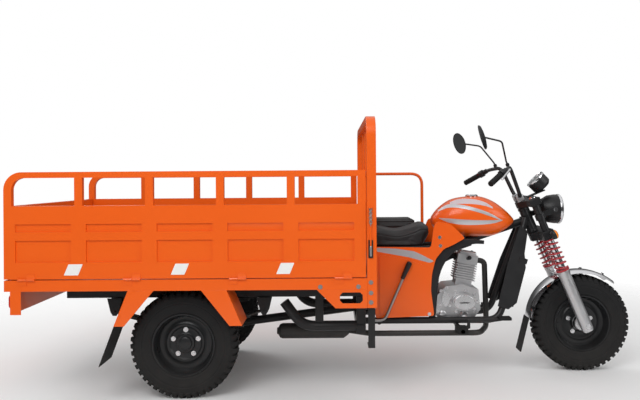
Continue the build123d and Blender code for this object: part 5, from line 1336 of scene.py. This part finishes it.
shares = [0.5 - 0.5 * cos(tau / 2 * k / 48) for k in range(49)]
ends = ((0.25, 7.0), (0.55, 6.0), (0.82, 3.5))
tank_rings = [tank_ring(0, shrink, -push) for shrink, push in ends] + [tank_ring(share) for share in shares]
tank_rings += [tank_ring(1, shrink, push) for shrink, push in reversed(ends)]
tank = loft(tank_rings)
TANK_SKIN = BVHTree.FromPolygons([v.co.copy() for v in tank.vertices],
                                 [list(p.vertices) for p in tank.polygons])


def decal_and_reflection_strip(rows, step=9.0, across=4):
    """Thin strip on the right of the tank along rows of (X, Z, half width); it makes the silver decals and
    the painted top reflection.
    """
    count = int((rows[-1][0] - rows[0][0]) / step)
    rings = []
    for i in range(count + 1):
        x = rows[0][0] + (rows[-1][0] - rows[0][0]) * i / count
        z, wide = smooth_row(rows, min(x, rows[-1][0] - 0.01))
        wide = max(wide, 0.8)
        outer_points, inner_points = [], []
        for k in range(across + 1):
            spot, normal, _, _ = TANK_SKIN.ray_cast(Vector((x, -400, z + wide * (2 * k / across - 1))),
                                                    Vector((0, 1, 0)))
            normal = normal if normal.y < 0 else -normal
            outer_points.append(spot + normal * 0.8)
            inner_points.append(spot - normal * 1.2)
        rings.append(outer_points + list(reversed(inner_points)))
    return loft(rings)


UPPER_STRIPE = ((588, 946, 3), (640, 974, 9), (700, 975, 10), (780, 958, 10), (870, 928, 9), (940, 895, 3))
LOWER_STRIPE = ((588, 905, 2), (640, 893, 12), (720, 884, 15), (820, 882, 13), (900, 886, 9), (950, 893, 3))
# The band along the flat top of the tank is a painted reflection, not a part of the tank.
TOP_REFLECTION_BAND = ((655, 990, 6), (700, 1000, 12), (780, 1001, 14), (850, 987, 11), (895, 965, 5))
tank_parts = [(tank, ORANGE)]
tank_parts += mirrored([(decal_and_reflection_strip(UPPER_STRIPE), SILVER), (decal_and_reflection_strip(LOWER_STRIPE), SILVER),
                        (decal_and_reflection_strip(TOP_REFLECTION_BAND), PAINTED_TOP_REFLECTION)])
piece("fuel_tank_striped", "chassis", SLOT_OF["fuel_tank"], tank_parts, "fuel_tank")
cap_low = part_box("fuel_cap")[0]
cap_base = Vector((centre("fuel_cap").x, 0, cap_low.z / MM))
CAP = [(0, -3), (33, -3), (36, 0), (36, 7), (34, 9), (28, 12), (16, 12), (14, 9), (0, 9)]
cap_parts = [(turned(CAP, Matrix.Translation(cap_base), 48), CHROME),
             (slab((-12, 12), (-3, 3), (8, 11.5), Matrix.Translation(cap_base), 1), CHROME)]
piece("fuel_cap_turned", "chassis", SLOT_OF["fuel_cap"], cap_parts, "fuel_cap")

# %% [markdown]
# ## Side covers
# Moulded panels below the saddle, with a raised field, a silver flash and their screws.

# %% Side covers
COVER_LOW, COVER_TOP, COVER_REAR = 340.0, 748.0, HEADBOARD_X + 20
COVER_INNER, COVER_OUTER = 153.0, 167.0
COVER_OUTLINE = ((6, 12), (-12, 160), (-6, 250), (16, 336), (62, 393), (122, 419), (186, 455), (104, 536),
                 (24, 552), (6, 520), (-10, 402))
front_edge = [(ARCH_X + x, COVER_LOW + z) for x, z in COVER_OUTLINE]
corners = [(COVER_REAR, COVER_LOW)] + front_edge + [(COVER_REAR, COVER_TOP)]
field = [(24, 24), (284, 34), (272, 160), (276, 250), (286, 298), (190, 334), (24, 366)]
flash = [(8, 404), (120, 398), (222, 382), (270, 360), (337, 324), (312, 315), (192, 348), (8, 382)]
cover_parts = [(plate(rounded(corners, 16), COVER_INNER, COVER_OUTER, upright(-1), 5), ORANGE)]
raised_field = rounded([(COVER_REAR + x, COVER_LOW + z) for x, z in field], 22)
cover_parts.append((plate(raised_field, COVER_OUTER - 2, COVER_OUTER + 4, upright(-1), 3.5), ORANGE))
flash_line = rounded([(COVER_REAR + x, COVER_LOW + z) for x, z in flash], 10)
cover_parts.append((plate(flash_line, COVER_OUTER - 1, COVER_OUTER + 1, upright(-1), 0.4), SILVER))
for share in (0.25, 0.75):
    spot = Vector(seat_leg[1]) + (Vector(seat_leg[0]) - Vector(seat_leg[1])) * share
    cover_parts.append((tube([(spot.x, -CRADLE_Y - 12, spot.z), (spot.x, -COVER_INNER - 2, spot.z)], 8),
                        BLACK))
SCREWS = ((ARCH_X + 40, 800), (ARCH_X + 44, 752), (ARCH_X - 22, 362))
screws = [((x, -COVER_OUTER, z), (0, -1, 0)) for x, z in SCREWS]
cover_parts.append((bolts(screws, 7.0, 3.0), MACHINED))
piece("side_covers_moulded", "chassis", SLOT_OF["side_covers"], mirrored(cover_parts), "side_covers")

# %% [markdown]
# ## Soft seats
# A padded cover isn't a box: the filling swells it between its seams. The start shape is
# remeshed into small even squares and blown up as cloth with its underside held. How far
# a point may move is capped, and the seams are pressed in afterwards.

# %% Seats
SEAT_BASE, SEAT_REAR, SEAT_FRONT = 750.3, HEADBOARD_X + 12, TANK_REAR - 8
SEAT_ROWS = ((0.00, 862, 128), (0.12, 858, 133), (0.42, 843, 134), (0.70, 864, 128), (0.84, 883, 118),
             (1.00, 876, 108))


def swollen(start, base, cap, voxel=5.0):
    """Padded form in millimetres: the start shape blown up as cloth, no point moved beyond a cap."""
    start.transform(Matrix.Scale(MM, 4))
    obj = bpy.data.objects.new("padding", start)
    scene.collection.objects.link(obj)
    remesh = obj.modifiers.new("remesh", "REMESH")
    remesh.mode, remesh.voxel_size = "VOXEL", voxel * MM
    mesh = bpy.data.meshes.new_from_object(obj.evaluated_get(bpy.context.evaluated_depsgraph_get()))
    obj.modifiers.remove(remesh)
    obj.data = mesh
    before = [v.co.copy() for v in mesh.vertices]
    held = obj.vertex_groups.new(name="held")
    held.add([v.index for v in mesh.vertices if v.co.z < (base + 6) * MM], 1.0, "REPLACE")
    cloth = obj.modifiers.new("cloth", "CLOTH")
    cloth.settings.use_pressure = True
    cloth.settings.uniform_pressure_force = 4.0
    cloth.settings.effector_weights.gravity = 0
    cloth.settings.vertex_group_mass = "held"
    for tick in range(1, 21):
        scene.frame_set(tick)
    shown = obj.evaluated_get(bpy.context.evaluated_depsgraph_get())
    after = [v.co.copy() for v in shown.data.vertices]
    obj.modifiers.remove(cloth)
    scene.frame_set(1)
    for vertex, a, b in zip(mesh.vertices, before, after):
        step = b - a
        vertex.co = a + step * min(1.0, cap * MM / max(step.length, 1e-9))
    finer = obj.modifiers.new("finer", "SUBSURF")
    finer.levels = finer.render_levels = 1
    result = bpy.data.meshes.new_from_object(obj.evaluated_get(bpy.context.evaluated_depsgraph_get()))
    obj.modifiers.remove(finer)
    bpy.data.objects.remove(obj)
    result.transform(Matrix.Scale(1 / MM, 4))
    return result


def pressed(mesh, away, width, depth, low, high):
    """Press a seam into a padded mesh where a distance is small, and keep every point in a box."""
    normals = [v.normal.copy() for v in mesh.vertices]
    for vertex, normal in zip(mesh.vertices, normals):
        share = away(vertex.co) / width
        if abs(share) < 3:
            vertex.co -= normal * depth * 2.718 ** (-share * share)
        for axis in range(3):
            vertex.co[axis] = min(max(vertex.co[axis], low[axis] + 0.3), high[axis] - 0.3)
    return mesh


def saddle_row(x):
    """Top height and half width of the saddle at a place along it."""
    share = min(max((x - SEAT_REAR) / (SEAT_FRONT - 18 - SEAT_REAR), 0.0), 0.9999)
    return smooth_row(SEAT_ROWS, share)


def saddle_start():
    """Saddle before it is blown up, a little smaller than the CAD solid."""
    rings = []
    for k in range(25):
        share = k / 24
        x = SEAT_REAR + 6 + (SEAT_FRONT - 26 - SEAT_REAR - 6) * share
        top, wide = saddle_row(x)
        slant = 40 * max(0.0, share - 0.86) / 0.14
        foot = [(x - slant, -wide, SEAT_BASE + 1), (x - slant, wide, SEAT_BASE + 1)]
        ring = [Vector(p) for p in foot]
        for step in range(13):
            angle = tau / 2 * step / 12
            drop = 34 * (1 - sin(angle) ** 0.7)
            ring.append(Vector((x, wide * cos(angle), top - 8 - drop)))
        rings.append(ring)
    return loft(rings)


def padded(node, start, cap, seams):
    """Padded piece for a CAD node, with its seams pressed in."""
    low, high = (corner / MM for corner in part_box(node))
    mesh = swollen(start, low.z, cap)
    for away, width, depth in seams:
        pressed(mesh, away, width, depth, low, high)
    obj = piece(node + "_padded", "chassis", SLOT_OF[node], [(mesh, VINYL)], node, smooth=60)


def below_edge(drop):
    """Distance from a seam that runs round the saddle, a drop below its top."""
    return lambda p: p.z - (saddle_row(p.x)[0] - drop)


cushion_low, cushion_high = (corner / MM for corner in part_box("passenger_seat"))
inset = Vector((5, 5, 1))
start_low, start_high = cushion_low + inset, cushion_high - Vector((5, 5, 9))
cushion_start = slab((start_low.x, start_high.x), (start_low.y, start_high.y), (start_low.z, start_high.z),
                     edge=9)
cushion_seam = (cushion_low.z + cushion_high.z) / 2 + 10
padded("seat", saddle_start(), 8.0, [(below_edge(44), 3.5, 3.0)])
padded("passenger_seat", cushion_start, 8.0, [(lambda p: p.z - cushion_seam, 3.5, 3.0)])

# %% [markdown]
# ## Passenger's place, pedals and lamps
# The guard rail is one bent tube. What is left keeps its CAD solid, with edges rounded.

# %% Passenger frame and small pieces
RAIL_Y, RAIL_TOP, RAIL_LOW, BASE_Z = 600.0, 1169.0, 545.0, 814.0
rail_front, inner_y = HEADBOARD_X + 390, 330.0
rail = [(HEADBOARD_X, RAIL_Y, RAIL_TOP), (rail_front, RAIL_Y, RAIL_TOP), (rail_front, RAIL_Y, RAIL_LOW),
        (HEADBOARD_X, RAIL_Y, RAIL_LOW)]
under = BASE_Z - 8
passenger_parts = [tube(rail, 10, 78, 20),
                   slab((HEADBOARD_X, rail_front - 60), (inner_y, RAIL_Y + 8), (under, BASE_Z), edge=2),
                   slab((HEADBOARD_X, HEADBOARD_X + 30), (inner_y + 20, inner_y + 50), (under - 166, under),
                        edge=2),
                   tube([(rail_front - 100, inner_y + 30, under - 6),
                         (HEADBOARD_X + 15, inner_y + 30, under - 156)], 9),
                   tube([(rail_front - 80, RAIL_Y - 4, under - 6), (rail_front, RAIL_Y, under - 6)], 9)]
piece("passenger_frame_tubes", "chassis", SLOT_OF["passenger_frame"],
      [(mesh, ORANGE) for mesh in passenger_parts], "passenger_frame")

lever_y = -CRADLE_Y - 59
lever_line = [(HEADBOARD_X, lever_y, CROSS_Z + 12), (HEADBOARD_X + 70, lever_y, CROSS_Z + 12),
              (HEADBOARD_X + 215, lever_y, 660)]
grip_low, grip_high = Vector((HEADBOARD_X + 172, lever_y, 568)), Vector((HEADBOARD_X + 217, lever_y, 664))
GRIP = [(0, 0), (11, 0), (12, 4), (16, 88), (14, 102), (8, 106), (0, 106)]
lever_parts = [(tube(lever_line, 8, 34), STEEL),
               (turned(GRIP, facing(grip_low, grip_high - grip_low), 28), PLASTIC),
               (tube([(HEADBOARD_X + 40, lever_y, CROSS_Z), (HEADBOARD_X + 40, -CRADLE_Y - 19.3, CROSS_Z)],
                     12), BLACK)]
piece("parking_lever_gripped", "chassis", SLOT_OF["parking_lever"], lever_parts, "parking_lever")

rest_x, rest_z = ENGINE_X - 10, CROSS_Z - 31.3
rib = slab((rest_x - 31, rest_x + 31), (-299, -295), (rest_z + 15, rest_z + 18.5), edge=1)
pedal_line = [(rest_x + 40, -212, rest_z + 44), (rest_x + 190, -212, rest_z + 44),
              (rest_x + 260, -212, rest_z + 54)]
foot_parts = [(slab((rest_x - 30, rest_x + 30), (-300, -205), (rest_z - 14, rest_z + 16), edge=4),
               TRIM_RUBBER),
              (run_tree(ROW, rib, Copies=10, Step=(0, 10, 0), Finish=TRIM_RUBBER), TRIM_RUBBER),
              (tube(pedal_line, 9, 26), BLACK),
              (slab((rest_x + 40, rest_x + 56), (-221, -203), (rest_z + 10, rest_z + 46), edge=2), BLACK),
              (slab((rest_x + 25, rest_x + 56), (-221, -203), (rest_z, rest_z + 16), edge=2), BLACK),
              (slab((rest_x + 215, rest_x + 285), (-245, -190), (rest_z + 48, rest_z + 66), edge=4),
               TRIM_RUBBER)]
foot_parts = mirrored(foot_parts) + [(tube([(rest_x, -300, rest_z), (rest_x, 300, rest_z)], 12), BLACK)]
piece("foot_controls_ribbed", "chassis", SLOT_OF["foot_controls"], foot_parts, "foot_controls")

# %% [markdown]
# ## Everything else that keeps its CAD shape
# Rails, leaf springs and brackets keep their solids, with edges rounded.

# %% Dressed copies
DRESSED = {
    "bed_joists": (BLACK, 1.0), "frame_rails": (BLACK, 3.0), "leaf_springs": (SPRING_STEEL, 0.8),
    "spring_hangers": (BLACK, 0.8), "side_steps": (BLACK, 1.5), "rear_flaps": (TRIM_RUBBER, 1.0),
    "front_spindle": (ALLOY, 0.0), "front_flap": (TRIM_RUBBER, 1.0), "tail_lamps": (RED_LENS, 2.0),
}
for node, (material, edge) in DRESSED.items():
    piece(node + "_finished", BODY_OF[node], SLOT_OF[node], [(from_node(node, edge), material)], node,
          smooth=46.0)
